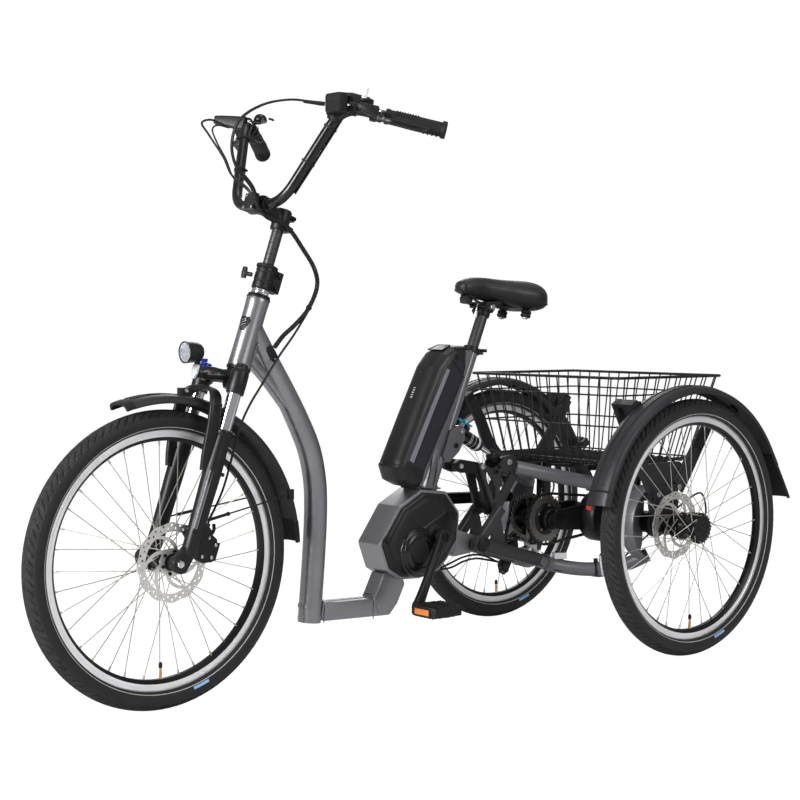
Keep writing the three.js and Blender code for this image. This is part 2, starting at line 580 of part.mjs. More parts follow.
// ---- battery, seatpost and saddle ----
function makeBattery() {
  const rear = [[-579, 441], [-569, 462], [-543, 511], [-509, 569], [-462, 653]];
  const outer = [[-653, 458], [-641, 424], [-614, 411], [-584, 413], ...rear, [-453, 677], [-438, 714],
    [-440, 722], [-490, 722], [-517, 707], [-544, 676], [-597, 572], [-648, 471]];
  const core = [[-634, 456], [-626, 432], [-610, 420], [-586, 420], ...rear, [-456, 674], [-466, 700], [-478, 705],
    [-499, 693], [-516, 673], [-572, 572], [-627, 466]];
  add('battery', join(slab(outer, -30, 30), slab(core, -42, 42)), BLACK_PLASTIC);
}

// A closed skin through rings of points that all have the same number of points.
function loft(rings) {
  const n = rings[0].length;
  const position = [];
  const index = [];
  rings.forEach((points) => points.forEach((p) => position.push(...p)));
  for (let i = 0; i + 1 < rings.length; i += 1) {
    for (let k = 0; k < n; k += 1) {
      const a = i * n + k;
      const b = i * n + ((k + 1) % n);
      index.push(a, b, b + n, a, b + n, a + n);
    }
  }
  const last = (rings.length - 1) * n;
  for (let k = 1; k + 1 < n; k += 1) {
    index.push(0, k + 1, k);
    index.push(last, last + k, last + k + 1);
  }
  const geometry = new THREE.BufferGeometry();
  geometry.setAttribute('position', new THREE.BufferAttribute(new Float32Array(position), 3));
  geometry.setIndex(index);
  return geometry;
}

// Saddle stations, nose to tail: y, half width, top, bottom.
const SADDLE = [[-441, 9, 861, 847], [-434, 19, 870, 842], [-410, 26, 878, 836], [-374, 31, 880, 831],
  [-338, 43, 877, 823], [-302, 62, 875, 813], [-268, 76, 874, 805], [-242, 80, 872, 801], [-222, 72, 866, 804],
  [-210, 52, 857, 816]];

function makeSeat() {
  const post = rod(onSeatPost(-150), onSeatPost(88), 13.5, 14);
  const head = box(-20, 20, -386, -334, 794, 811.5);
  add('seatpost', join(post, cut(head, box(-30, 30, -400, -300, 811.5, 830))), BLACK_METAL);

  const rings = SADDLE.map(([y, w, top, low]) => {
    const points = [];
    for (let k = 0; k < 14; k += 1) {
      const a = (k / 14) * Math.PI * 2;
      const side = Math.sign(Math.cos(a)) * Math.abs(Math.cos(a)) ** 0.8;
      points.push([-w * side, y, (top + low) / 2 + ((top - low) / 2) * Math.sin(a)]);
    }
    return points;
  });
  const rails = [-20, 20].map((x) => box(x - 3.5, x + 3.5, -414, -262, 812, 842));
  add('saddle', join(loft(rings), ...rails), RUBBER);

  const lever = join(rod(v3(15, -371, 706), v3(15, -369, 712), 4, 8), box(-18, 18, -370, -364, 706, 714));
  add('seat_clamp_lever', lever, BLACK_METAL);
}

// ---- rear swingarm ----
function swingarmSide(side) {
  const inOut = (a, b) => [Math.min(side * a, side * b), Math.max(side * a, side * b)];
  const plate = slab([[-399, 446], [-390, 452], [-356, 434], [-330, 442], [-318, 462], [-296, 464], [-280, 448],
    [-266, 444], [-262, 430], [-334, 326], [-350, 332]], ...inOut(22, 28));
  const window1 = slab([[-384, 436], [-348, 356], [-343, 388], [-366, 426]], ...inOut(10, 40));
  const window2 = slab([[-326, 426], [-292, 426], [-332, 368]], ...inOut(10, 40));
  const outward = (points) => points.map(([x, y, z]) => v3(side * x, y, z));
  return [
    flatBar(side * 44, 24, [PIVOT.y, PIVOT.z], [-195, 206], 34, 32),
    axle(...inOut(31, 57), PIVOT.y, PIVOT.z, 19, 16),
    flatBar(side * 38, 20, [-402, 276], [-338, 342], 28, 20),
    cut(plate, window1, window2),
    sweep(outward([[41, -215, 210], [49, -175, 196], [98, -102, 184], [158, -40, 196], [200, -4, 222]]),
      circle(16.5, 8), 7),
    sweep(outward([[28, -280, 434], [80, -184, 410], [150, -76, 385], [200, -8, 367]]), circle(16.5, 8), 5),
    cut(
      axle(...inOut(190, 226), 0, AXLE_Z, 91, 20),
      axle(...inOut(194, 240), 0, AXLE_Z, 87.5, 20),
      axle(...inOut(180, 240), 0, AXLE_Z, 28.5, 12),
      box(...inOut(180, 240), 24, 100, 180, 420),
    ),
  ];
}

function makeSwingarm() {
  const parts = [...swingarmSide(1), ...swingarmSide(-1)];
  parts.push(axle(-24, 24, -280, 430, 12, 12));
  parts.push(axle(-40, 40, -200, 207, 14, 12));
  parts.push(axle(-34, 34, SHOCK_EYE.y, SHOCK_EYE.z, 4, 10));
  add('swingarm', cut(join(...parts), axle(-70, 70, PIVOT.y, PIVOT.z, 11.2, 14)), DARK_FRAME);
}

function fenderBracket(side) {
  const inOut = (a, b) => [Math.min(side * a, side * b), Math.max(side * a, side * b)];
  const parts = [slab([[-40, 320], [40, 320], [40, 392], [-40, 392]], ...inOut(230, 254))];
  for (const [foot, top, clipDeg] of [[[-22, 372], [-174, 592], -30], [[36, 378], [183, 578], 34]]) {
    parts.push(flatBar(side * 250, 8, foot, top, 44, 34));
    const clip = box(...inOut(246, 312), -18, 18, FENDER_R + GAP, FENDER_R + 12);
    parts.push(clip.rotateX(THREE.MathUtils.degToRad(-clipDeg)).translate(0, FENDER_SHIFT, AXLE_Z));
  }
  const caliper = join(box(...inOut(262, 295), 50, 92, 268, 322), box(...inOut(232, 268), 24, 56, 268, 320));
  parts.push(cut(caliper, box(...inOut(275, 282), 10, 84, 250, 340), axle(...inOut(200, 300), 0, AXLE_Z, 30, 16)));
  return parts;
}

function makeAxleHousing() {
  const parts = [
    axle(-238, 238, 0, AXLE_Z, 26, 14),
    axle(16, 74, 0, AXLE_Z, 62, 16),
    slab([[-168, 282], [-168, 318], [0, 330], [0, 270]], 30, 38),
    slab([[-168, 318], [-186, 300], [-186, 230], [-166, 230], [-152, 276], [0, 270], [0, 330]], -48, -40),
    box(-170, 170, -14, 14, 412, 439.5),
    ...fenderBracket(1),
    ...fenderBracket(-1),
  ];
  for (const side of [-1, 1]) {
    parts.push(box(side * 150 - 5, side * 150 + 5, -13, 13, 300, 420));
    parts.push(box(side * 120 - 12, side * 120 + 12, -130, 145, 424, 439.5));
  }
  const bores = [axle(-260, -196, 0, AXLE_Z, 13, 14), axle(196, 260, 0, AXLE_Z, 13, 14)];
  bores.push(axle(-60, 60, JACK.y, JACK.z, 9.8, 14));
  add('axle_housing', cut(join(...parts), ...bores), BLACK_METAL);
}

function makeBasket() {
  const b = BASKET;
  const frustum = (inset, low, high) => {
    const corners = (x, f, r, z) => [[-x, f, z], [x, f, z], [x, r, z], [-x, r, z]];
    const t = (z) => (z - b.z0) / (b.z1 - b.z0);
    const at = (z) => corners(b.x0 + (b.x1 - b.x0) * t(z) - inset, b.f0 + (b.f1 - b.f0) * t(z) + inset,
      b.r0 + (b.r1 - b.r0) * t(z) - inset, z);
    return loft([at(low), at(high)]);
  };
  add('basket', cut(frustum(0, b.z0, b.z1), frustum(b.wall, b.z0 + b.wall, b.z1 + 10)), BLACK_METAL);
}

// ---- shock absorber ----
function makeShock() {
  const along = v3(0, SHOCK_EYE.y - SHOCK_TOP.y, SHOCK_EYE.z - SHOCK_TOP.z);
  const length = along.length();
  const shock = new THREE.Group();
  shock.position.set(0, SHOCK_TOP.y, SHOCK_TOP.z);
  shock.rotation.x = Math.atan2(along.z, along.y);
  tricycle.add(shock);
  const can = join(
    rod(v3(0, 20, 0), v3(0, 86, 0), 16, 16),
    rod(v3(0, 0, 0), v3(0, 24, 0), 9, 12),
    axle(-11, 11, 0, 0, 9, 14),
    rod(v3(0, 30, 10), v3(0, 30, 26), 8, 12),
  );
  const way = rod(v3(0, 26, 0), v3(0, 90, 0), 12.6, 14);
  add('shock_body', cut(can, way, axle(-20, 20, 0, 0, 4.4, 12)), BLACK_METAL, shock);
  const shaft = join(rod(v3(0, 66, 0), v3(0, length - 6, 0), 12, 14), axle(-11, 11, length, 0, 11, 14));
  add('shock_shaft', cut(shaft, axle(-20, 20, length, 0, 5.6, 12)), CHROME, shock);
  const lever = join(rod(v3(0, 30, 26.4), v3(0, 30, 30), 7, 10), box(-4, 4, 2, 30, 26.8, 29.8));
  add('shock_lever', lever, finish('#18b6dd', 0.3, 0.6), shock);
}

makeMainFrame();
makeForkUpper();
makeStemRiser();
makeForkLowers();
makeWheels();
makeFenders();
makeHandlebar();
makeCables();
makeDrive();
makeBattery();
makeSeat();
makeSwingarm();
makeAxleHousing();
makeBasket();
makeShock();

tricycle.position.y = (WHEELBASE + WHEEL_R - REAR_REACH) / 2;

export default tricycle;
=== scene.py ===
"""Adult cargo tricycle with electric assist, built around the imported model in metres, +Z up.

Lengths in the pieces below are millimetres from the rear axle's line on the ground: x to the rider's left,
y to the rear, z up. at() turns them into the frame's metres.
"""
import math

import bpy
import numpy as np
from mathutils import Matrix, Vector


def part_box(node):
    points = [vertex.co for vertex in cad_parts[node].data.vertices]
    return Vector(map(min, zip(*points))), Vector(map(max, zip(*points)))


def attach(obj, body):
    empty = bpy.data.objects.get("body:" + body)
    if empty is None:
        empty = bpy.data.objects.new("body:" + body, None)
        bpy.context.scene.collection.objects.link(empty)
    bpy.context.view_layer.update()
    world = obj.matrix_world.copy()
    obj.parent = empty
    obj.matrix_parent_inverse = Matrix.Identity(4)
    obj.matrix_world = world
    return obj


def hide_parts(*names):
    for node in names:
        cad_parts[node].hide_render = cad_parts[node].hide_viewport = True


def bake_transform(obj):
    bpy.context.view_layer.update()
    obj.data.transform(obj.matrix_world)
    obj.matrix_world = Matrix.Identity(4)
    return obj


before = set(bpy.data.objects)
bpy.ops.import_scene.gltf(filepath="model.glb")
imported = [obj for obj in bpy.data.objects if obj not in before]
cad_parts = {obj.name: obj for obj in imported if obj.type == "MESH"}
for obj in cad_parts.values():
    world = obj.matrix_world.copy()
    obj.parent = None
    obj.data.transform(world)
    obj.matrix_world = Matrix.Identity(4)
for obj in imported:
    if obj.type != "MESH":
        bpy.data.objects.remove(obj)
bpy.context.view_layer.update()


def middle(node):
    low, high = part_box(node)
    return (low + high) / 2


# ---- driving dimensions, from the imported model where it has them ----
REAR_AXLE = middle("rear_left_tyre")
FRONT_AXLE = middle("front_tyre")
WHEEL_R = 1000 * (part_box("front_tyre")[1].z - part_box("front_tyre")[0].z) / 2
WHEELBASE = 1000 * (REAR_AXLE.y - FRONT_AXLE.y)
TRACK_HALF = 1000 * REAR_AXLE.x
HEAD_ANGLE = math.radians(19.2)
HEAD_Y = -1052
HEAD_Z = 678
LEG_X = 65
LEG_V = -36
CRANK_Y, CRANK_Z, CRANK_LENGTH, CRANK_LEAN = -552, 296.5, 168, math.radians(32)
PIVOT = (-410, 266)
SHOCK_TOP = (-448, 527)
SHOCK_EYE = (-302, 448)
AXLE_Z = 300
JACK = (-150, AXLE_Z)
CHAIN_X = -70
FENDER_R = 331
FENDER_SHIFT = -7
FLAP_FLARE = 160
BAR_END = (312, -768, 1160)
BAR_BEND = (169, -914, 1209)
BAR_LOW = (82, -1002.8, 1015)
SEAT_TOP = (0, -397, 715)
SEAT_FOOT = (0, -530, 398)
TAU = 2 * math.pi
X, Y, Z = Vector((1, 0, 0)), Vector((0, 1, 0)), Vector((0, 0, 1))


def at(x, y, z):
    """A point in the frame's metres, from millimetres off the rear axle's line on the ground."""
    return Vector((x / 1000, y / 1000 + REAR_AXLE.y, z / 1000))


def places(points):
    return [at(*p) for p in points]


def st(x, v, w):
    """A point on the steering axis' own frame: v to the rear across it, w up along it."""
    s, c = math.sin(HEAD_ANGLE), math.cos(HEAD_ANGLE)
    return at(x, HEAD_Y + v * c + w * s, HEAD_Z - v * s + w * c)


# ---- materials ----
def give(n, **inputs):
    for key, value in inputs.items():
        n.inputs[key.replace("_", " ")].default_value = value
    return n


def node(tree, kind, **inputs):
    return give(tree.nodes.new(kind), **inputs)


def surface(name, color, rough, metal=0.0, coat=0.0, tone=0.12, tone_scale=14, var=0.1, var_scale=60,
            bump=0.15, bump_scale=700, cells=False, wear=None, stretch=None, sheen=0.0, spec=0.5):
    """A procedural surface: colour that drifts, roughness that varies, fine relief and, if asked, worn edges."""
    m = bpy.data.materials.new(name)
    m.use_nodes = True
    t = m.node_tree
    bsdf = t.nodes["Principled BSDF"]
    give(bsdf, Metallic=metal, Coat_Weight=coat, Coat_Roughness=0.18, Sheen_Weight=sheen, Specular_IOR_Level=spec)
    coords = t.nodes.new("ShaderNodeTexCoord").outputs["Object"]
    if stretch:
        mapping = node(t, "ShaderNodeMapping", Scale=stretch)
        t.links.new(coords, mapping.inputs["Vector"])
        coords = mapping.outputs["Vector"]

    def noise(scale, detail=3.0):
        n = node(t, "ShaderNodeTexNoise", Scale=scale, Detail=detail)
        t.links.new(coords, n.inputs["Vector"])
        return n.outputs["Fac"]

    ramp = t.nodes.new("ShaderNodeValToRGB")
    ramp.color_ramp.elements[0].position = 0.3
    ramp.color_ramp.elements[1].position = 0.7
    ramp.color_ramp.elements[0].color = [c * (1 - tone) for c in color] + [1]
    ramp.color_ramp.elements[1].color = [min(1, c * (1 + tone)) for c in color] + [1]
    t.links.new(noise(tone_scale), ramp.inputs["Fac"])
    base = ramp.outputs["Color"]
    if wear:
        edge = t.nodes.new("ShaderNodeNewGeometry").outputs["Pointiness"]
        mask = node(t, "ShaderNodeMapRange", From_Min=0.53, From_Max=0.62, To_Max=0.55)
        t.links.new(edge, mask.inputs["Value"])
        mix = t.nodes.new("ShaderNodeMix")
        mix.data_type = "RGBA"
        mix.inputs["B"].default_value = [*wear, 1]
        t.links.new(mask.outputs["Result"], mix.inputs["Factor"])
        t.links.new(base, mix.inputs["A"])
        base = mix.outputs["Result"]
    t.links.new(base, bsdf.inputs["Base Color"])
    span = node(t, "ShaderNodeMapRange", To_Min=max(0.02, rough - var), To_Max=min(1, rough + var))
    t.links.new(noise(var_scale, 4), span.inputs["Value"])
    t.links.new(span.outputs["Result"], bsdf.inputs["Roughness"])
    if cells:
        v = node(t, "ShaderNodeTexVoronoi", Scale=bump_scale)
        t.links.new(coords, v.inputs["Vector"])
        height = v.outputs["Distance"]
    else:
        height = noise(bump_scale, 2)
    relief = node(t, "ShaderNodeBump", Strength=bump, Distance=0.0006)
    t.links.new(height, relief.inputs["Height"])
    t.links.new(relief.outputs["Normal"], bsdf.inputs["Normal"])
    return m


def clear(name, color, rough=0.05, ior=1.49):
    m = bpy.data.materials.new(name)
    m.use_nodes = True
    t = m.node_tree
    bsdf = t.nodes["Principled BSDF"]
    give(bsdf, Base_Color=[*color, 1], Transmission_Weight=0.85, IOR=ior)
    coords = t.nodes.new("ShaderNodeTexCoord").outputs["Object"]
    n = node(t, "ShaderNodeTexNoise", Scale=300.0)
    t.links.new(coords, n.inputs["Vector"])
    span = node(t, "ShaderNodeMapRange", To_Min=rough, To_Max=rough + 0.08)
    t.links.new(n.outputs["Fac"], span.inputs["Value"])
    t.links.new(span.outputs["Result"], bsdf.inputs["Roughness"])
    return m


MAT = {
    "graphite": surface("graphite_lacquer", (0.27, 0.267, 0.285), 0.33, metal=0.8, coat=0.2, tone=0.05, bump=0.05,
                        bump_scale=2400, var=0.05),
    # The gusset plate's lacquer: the frame's graphite painted lighter, a painted highlight for the light the plate
    # catches.
    "graphite_painted_highlight": surface("graphite_plate_painted_highlight", (0.42, 0.415, 0.435), 0.4, metal=0.65, coat=0.2, tone=0.05, bump=0.05,
                              bump_scale=2400, var=0.05),
    "case": surface("cast_case", (0.29, 0.285, 0.3), 0.38, metal=0.8, coat=0.1, tone=0.05, bump=0.06, bump_scale=2000,
                    var=0.05),
    "arm": surface("arm_coat", (0.055, 0.054, 0.056), 0.4, metal=0.5, coat=0.1, tone=0.08, bump=0.12, bump_scale=1500,
                   spec=0.4),
    "arm_light": surface("guard_plate", (0.15, 0.15, 0.165), 0.44, metal=0.45, tone=0.06, bump=0.1),
    "black": surface("black_coat", (0.007, 0.007, 0.008), 0.38, metal=0.1, tone=0.15, bump=0.12, bump_scale=1300,
                     wear=(0.04, 0.04, 0.042), spec=0.35),
    "gloss_black": surface("gloss_black", (0.005, 0.005, 0.006), 0.24, metal=0.1, coat=0.2, var=0.05, bump=0.03,
                           spec=0.4),
    "plastic": surface("moulded_black", (0.008, 0.008, 0.009), 0.52, tone=0.1, bump=0.35, bump_scale=1800, cells=True,
                       spec=0.3),
    "plastic_fine": surface("fine_plastic", (0.010, 0.010, 0.011), 0.4, tone=0.08, bump=0.15, bump_scale=2600,
                            spec=0.35),
    "charcoal": surface("charcoal_shell", (0.011, 0.011, 0.012), 0.36, tone=0.07, bump=0.12, bump_scale=2200,
                        spec=0.4),
    "plate_dark": surface("bracket_plate", (0.026, 0.026, 0.029), 0.42, metal=0.3, tone=0.07, bump=0.12,
                          bump_scale=1500, spec=0.4),
    # Painted shade: the frame's graphite darkened to near black, for the side flank in shadow beside the battery.
    "painted_shade_flank": surface("painted_shade_flank", (0.032, 0.032, 0.042), 0.36, metal=0.4, tone=0.05, bump=0.06, spec=0.4),
    # Painted highlight: the frame's graphite made lighter and bluer, for the lit front bevel of the side flank.
    "painted_highlight_bevel": surface("painted_highlight_bevel", (0.3, 0.3, 0.345), 0.34, metal=0.5, tone=0.05, bump=0.05),
    "fender": surface("fender_shell", (0.017, 0.017, 0.019), 0.44, tone=0.08, bump=0.2, bump_scale=1600, spec=0.4),
    "rubber": surface("soft_rubber", (0.008, 0.008, 0.008), 0.66, tone=0.12, bump=0.35, bump_scale=900, spec=0.3),
    "tyre": surface("tyre_rubber", (0.009, 0.009, 0.010), 0.6, tone=0.25, tone_scale=30, bump=0.4, bump_scale=800,
                    sheen=0.08, spec=0.35),
    "tread": surface("tyre_tread", (0.026, 0.0255, 0.025), 0.84, tone=0.3, tone_scale=50, bump=0.6, bump_scale=600,
                     spec=0.3),
    "reflex": surface("reflex_band", (0.52, 0.5, 0.46), 0.42, tone=0.08, bump=0.3, bump_scale=3000),
    "blue": surface("pale_blue_patch", (0.25, 0.5, 0.8), 0.5, tone=0.08, bump=0.2),
    "alloy": surface("brake_track", (0.9, 0.9, 0.91), 0.36, metal=0.7, tone=0.06, var=0.08, bump=0.12,
                     bump_scale=1200),
    "dark_alloy": surface("black_anodised", (0.014, 0.014, 0.015), 0.34, metal=0.6, tone=0.1, bump=0.1),
    "steel": surface("brushed_steel", (0.62, 0.61, 0.6), 0.3, metal=1, tone=0.1, var=0.12, bump=0.25, bump_scale=900,
                     wear=(0.7, 0.7, 0.7)),
    "rotor": surface("rotor_steel", (0.72, 0.7, 0.67), 0.34, metal=0.9, tone=0.08, var=0.1, bump=0.3,
                     bump_scale=1500),
    "spoke": surface("spoke_wire", (0.6, 0.56, 0.5), 0.32, metal=0.9, tone=0.12, bump=0.05),
    "chrome": surface("polished_tube", (0.88, 0.88, 0.9), 0.1, metal=1, tone=0.03, var=0.04, bump=0.02),
    "chain": surface("oiled_chain", (0.06, 0.057, 0.053), 0.4, metal=0.8, tone=0.3, tone_scale=90, bump=0.3),
    "sprocket": surface("sprocket_steel", (0.3, 0.28, 0.26), 0.38, metal=0.9, tone=0.2, bump=0.3, bump_scale=800),
    "brass": surface("brass", (0.6, 0.42, 0.18), 0.3, metal=1, tone=0.1, bump=0.1),
    "wire": surface("coated_wire", (0.008, 0.008, 0.008), 0.45, tone=0.1, bump=0.2, bump_scale=1200, spec=0.35),
    "hose": surface("hose_sleeve", (0.008, 0.008, 0.008), 0.4, tone=0.1, bump=0.1, spec=0.35),
    "vinyl": surface("saddle_vinyl", (0.007, 0.007, 0.008), 0.42, tone=0.12, tone_scale=24, var=0.08, bump=0.5,
                     bump_scale=520, cells=True, sheen=0.08, spec=0.45),
    "vinyl_side": surface("saddle_side", (0.005, 0.005, 0.006), 0.32, coat=0.08, tone=0.1, bump=0.35, bump_scale=800,
                          cells=True, spec=0.4),
    "thread": surface("stitch_thread", (0.03, 0.03, 0.032), 0.6, bump=0.3),
    "cyan": surface("cyan_anodised", (0.01, 0.42, 0.68), 0.24, metal=0.6, coat=0.3, tone=0.08, bump=0.05),
    "deep_blue": surface("blue_anodised", (0.01, 0.03, 0.3), 0.28, metal=0.7, coat=0.3, bump=0.05),
    "white": surface("white_print", (0.62, 0.63, 0.64), 0.5, bump=0.1),
    "amber": surface("amber_prism", (0.75, 0.2, 0.02), 0.18, coat=0.5, tone=0.15, bump=0.7, bump_scale=420,
                     cells=True),
    "red": surface("red_prism", (0.45, 0.02, 0.012), 0.2, coat=0.4, tone=0.15, bump=0.7, bump_scale=420, cells=True),
    "mirror_bowl": surface("lamp_bowl", (0.8, 0.81, 0.82), 0.12, metal=1, tone=0.05, bump=0.25, bump_scale=240,
                           cells=True),
    "reflector": surface("white_prism", (0.8, 0.82, 0.83), 0.15, metal=0.3, coat=0.5, tone=0.12, bump=0.8,
                         bump_scale=420, cells=True),
    "glass": clear("lamp_glass", (0.95, 0.97, 1.0)),
    "screen": surface("screen_glass", (0.02, 0.024, 0.028), 0.08, coat=0.8, tone=0.05, var=0.03, bump=0.01),
}


# ---- shapes: each gives (points, faces) in metres ----
def smooth_path(points, per=8):
    """Points along a centripetal Catmull-Rom curve through the given ones."""
    p = [Vector(q) for q in points]
    p = [p[0] * 2 - p[1]] + p + [p[-1] * 2 - p[-2]]
    out = []
    for i in range(1, len(p) - 2):
        p0, p1, p2, p3 = p[i - 1:i + 3]
        t1 = (p1 - p0).length ** 0.5
        t2 = t1 + (p2 - p1).length ** 0.5
        t3 = t2 + (p3 - p2).length ** 0.5
        for k in range(per):
            t = t1 + (t2 - t1) * k / per
            a1 = p0 * ((t1 - t) / t1) + p1 * (t / t1)
            a2 = p1 * ((t2 - t) / (t2 - t1)) + p2 * ((t - t1) / (t2 - t1))
            a3 = p2 * ((t3 - t) / (t3 - t2)) + p3 * ((t - t2) / (t3 - t2))
            b1 = a1 * ((t2 - t) / t2) + a2 * (t / t2)
            b2 = a2 * ((t3 - t) / (t3 - t1)) + a3 * ((t - t1) / (t3 - t1))
            out.append(b1 * ((t2 - t) / (t2 - t1)) + b2 * ((t - t1) / (t2 - t1)))
    return out + [p[-2]]


def bent_path(points, bend, per=8):
    """Straight runs joined by round corners that start `bend` metres before each corner."""
    p = [Vector(q) for q in points]
    out = [p[0]]
    for a, b, c in zip(p, p[1:], p[2:]):
        start = b + (a - b).normalized() * bend
        end = b + (c - b).normalized() * bend
        for k in range(per + 1):
            t = k / per
            out.append(start * (1 - t) ** 2 + b * 2 * t * (1 - t) + end * t ** 2)
    return out + [p[-1]]


def frames(path, up=None):
    """A pair of cross directions at each point of a path, carried along it without twist."""
    n = len(path)
    tangents = [(path[min(i + 1, n - 1)] - path[max(i - 1, 0)]).normalized() for i in range(n)]
    side = up or (Z if abs(tangents[0].z) < 0.9 else Y)
    result = []
    for t in tangents:
        side = (side - t * side.dot(t)).normalized()
        result.append((side, t.cross(side)))
    return result


def grid(rows, wrap_u=False, wrap_v=False):
    """A skin over rows of points."""
    n, m = len(rows), len(rows[0])
    faces = []
    for i in range(n if wrap_u else n - 1):
        for k in range(m if wrap_v else m - 1):
            i2, k2 = (i + 1) % n, (k + 1) % m
            faces.append((i * m + k, i * m + k2, i2 * m + k2, i2 * m + k))
    return [p for row in rows for p in row], faces


def capped(rows, inside_out=False):
    """A closed skin over rings of points, with a flat cap on the first and the last ring."""
    points, faces = grid(rows, wrap_v=True)
    n = len(rows[0])
    first, last = tuple(range(n)), tuple(range(len(points) - n, len(points)))
    return points, faces + ([first[::-1], last] if inside_out else [first, last[::-1]])


def tube(path, radius, sides=16, flat=1.0, up=None, caps=True):
    """A round bar along a path. radius is one number, or one for each point; flat squeezes it across `up`."""
    radii = radius if isinstance(radius, (list, tuple)) else [radius] * len(path)
    turns = [(math.cos(TAU * k / sides), math.sin(TAU * k / sides)) for k in range(sides)]
    rows = [[p + a * (r / 1000 * c) + b * (r / 1000 * flat * s) for c, s in turns]
            for p, (a, b), r in zip(path, frames(path, up), radii)]
    return capped(rows, inside_out=True) if caps else grid(rows, wrap_v=True)


def bar(a, b, r, sides=16, r2=None):
    return tube([a, b], [r, r if r2 is None else r2], sides)


def turned(profile, origin, axis, sides=32, closed=False, start=None):
    """A turned piece: profile is a list of (radius, height) in mm, height along axis from origin."""
    axis = axis.normalized()
    a = (start or (Z if abs(axis.z) < 0.9 else Y))
    a = (a - axis * a.dot(axis)).normalized()
    b = axis.cross(a)
    turns = [(math.cos(TAU * k / sides), math.sin(TAU * k / sides)) for k in range(sides)]
    rows = [[origin + axis * (h / 1000) + (a * c + b * s) * (r / 1000) for c, s in turns] for r, h in profile]
    return grid(rows, wrap_u=True, wrap_v=True) if closed else capped(rows, inside_out=True)


def cylinder(r, low, high, origin, axis, sides):
    """A plain round bar along axis, from low to high (mm) above origin."""
    return turned([(r, low), (r, high)], origin, axis, sides)


def washer(inner, outer, half, origin, axis, sides):
    """A plain ring about origin, half its width (mm) to each side."""
    return turned([(inner, -half), (outer, -half), (outer, half), (inner, half)], origin, axis, sides, closed=True)


def prism(outline, x0, x1):
    """A side profile, a list of (y, z), as a solid between x0 and x1."""
    return capped([[at(x, y, z) for y, z in outline] for x in (x0, x1)], inside_out=True)


def slab(corners, thickness, normal):
    """A flat plate on the given outline of points, thick to both sides along normal."""
    off = normal.normalized() * (thickness / 2000)
    return capped([[p - off for p in corners], [p + off for p in corners]], inside_out=True)


def block(centre, size, x_axis=X, z_axis=Z):
    """A box of size (mm) about centre, turned to the given axes."""
    x = x_axis.normalized()
    z = (z_axis - x * z_axis.dot(x)).normalized()
    y = z.cross(x)
    points = []
    for sx, sy, sz in ((-1, -1, -1), (1, -1, -1), (1, 1, -1), (-1, 1, -1), (-1, -1, 1), (1, -1, 1), (1, 1, 1),
                       (-1, 1, 1)):
        points.append(centre + (x * (sx * size[0]) + y * (sy * size[1]) + z * (sz * size[2])) / 2000)
    return points, [(0, 3, 2, 1), (4, 5, 6, 7), (0, 1, 5, 4), (1, 2, 6, 5), (2, 3, 7, 6), (3, 0, 4, 7)]


def ball(centre, r, rings=8, sides=16, squash=1.0, axis=Z):
    profile = [(max(0.02, r * math.sin(math.pi * i / rings)), -r * squash * math.cos(math.pi * i / rings))
               for i in range(rings + 1)]
    return turned(profile, centre, axis, sides)


def cutout(outlines, thickness, origin, x_axis, y_axis):
    """A flat plate with holes: outlines are closed lists of (u, v) in mm, the first the rim, the others holes."""
    curve = bpy.data.curves.new("outline", "CURVE")
    curve.dimensions = "2D"
    curve.fill_mode = "BOTH"
    curve.extrude = thickness / 2000
    for outline in outlines:
        s = curve.splines.new("POLY")
        s.points.add(len(outline) - 1)
        for p, (u, v) in zip(s.points, outline):
            p.co = (u / 1000, v / 1000, 0, 1)
        s.use_cyclic_u = True
    holder = bpy.data.objects.new("outline", curve)
    mesh = bpy.data.meshes.new_from_object(holder)
    x, y = x_axis.normalized(), y_axis.normalized()
    z = x.cross(y)
    points = [origin + x * v.co.x + y * v.co.y + z * v.co.z for v in mesh.vertices]
    faces = [tuple(p.vertices) for p in mesh.polygons]
    bpy.data.objects.remove(holder)
    bpy.data.meshes.remove(mesh)
    bpy.data.curves.remove(curve)
    return points, faces


def circle2(r, n=24, u=0.0, v=0.0, turn=0.0):
    return [(u + r * math.cos(turn + TAU * k / n), v + r * math.sin(turn + TAU * k / n)) for k in range(n)]


def rounded(outline, r, per=4):
    """An outline of (u, v) with each corner rounded to radius r, as far as its sides allow."""
    out = []
    n = len(outline)
    for i in range(n):
        p, q, s = (Vector(outline[(i + k - 1) % n]) for k in range(3))
        a, b = p - q, s - q
        half = a.angle(b) / 2
        reach = min(r / max(1e-6, math.tan(half)), a.length * 0.48, b.length * 0.48)
        start, end = q + a.normalized() * reach, q + b.normalized() * reach
        for k in range(per + 1):
            t = k / per
            w = start * (1 - t) ** 2 + q * 2 * t * (1 - t) + end * t ** 2
            out.append((w.x, w.y))
    return out


def bolt(origin, axis, r=4.0, head=4.0):
    """A socket-head screw with a round recess."""
    profile = [(r, 0), (r, head - 0.6), (r - 0.6, head), (r * 0.55, head), (r * 0.5, head * 0.35),
               (0.05, head * 0.35)]
    return turned(profile, origin, axis, 12)


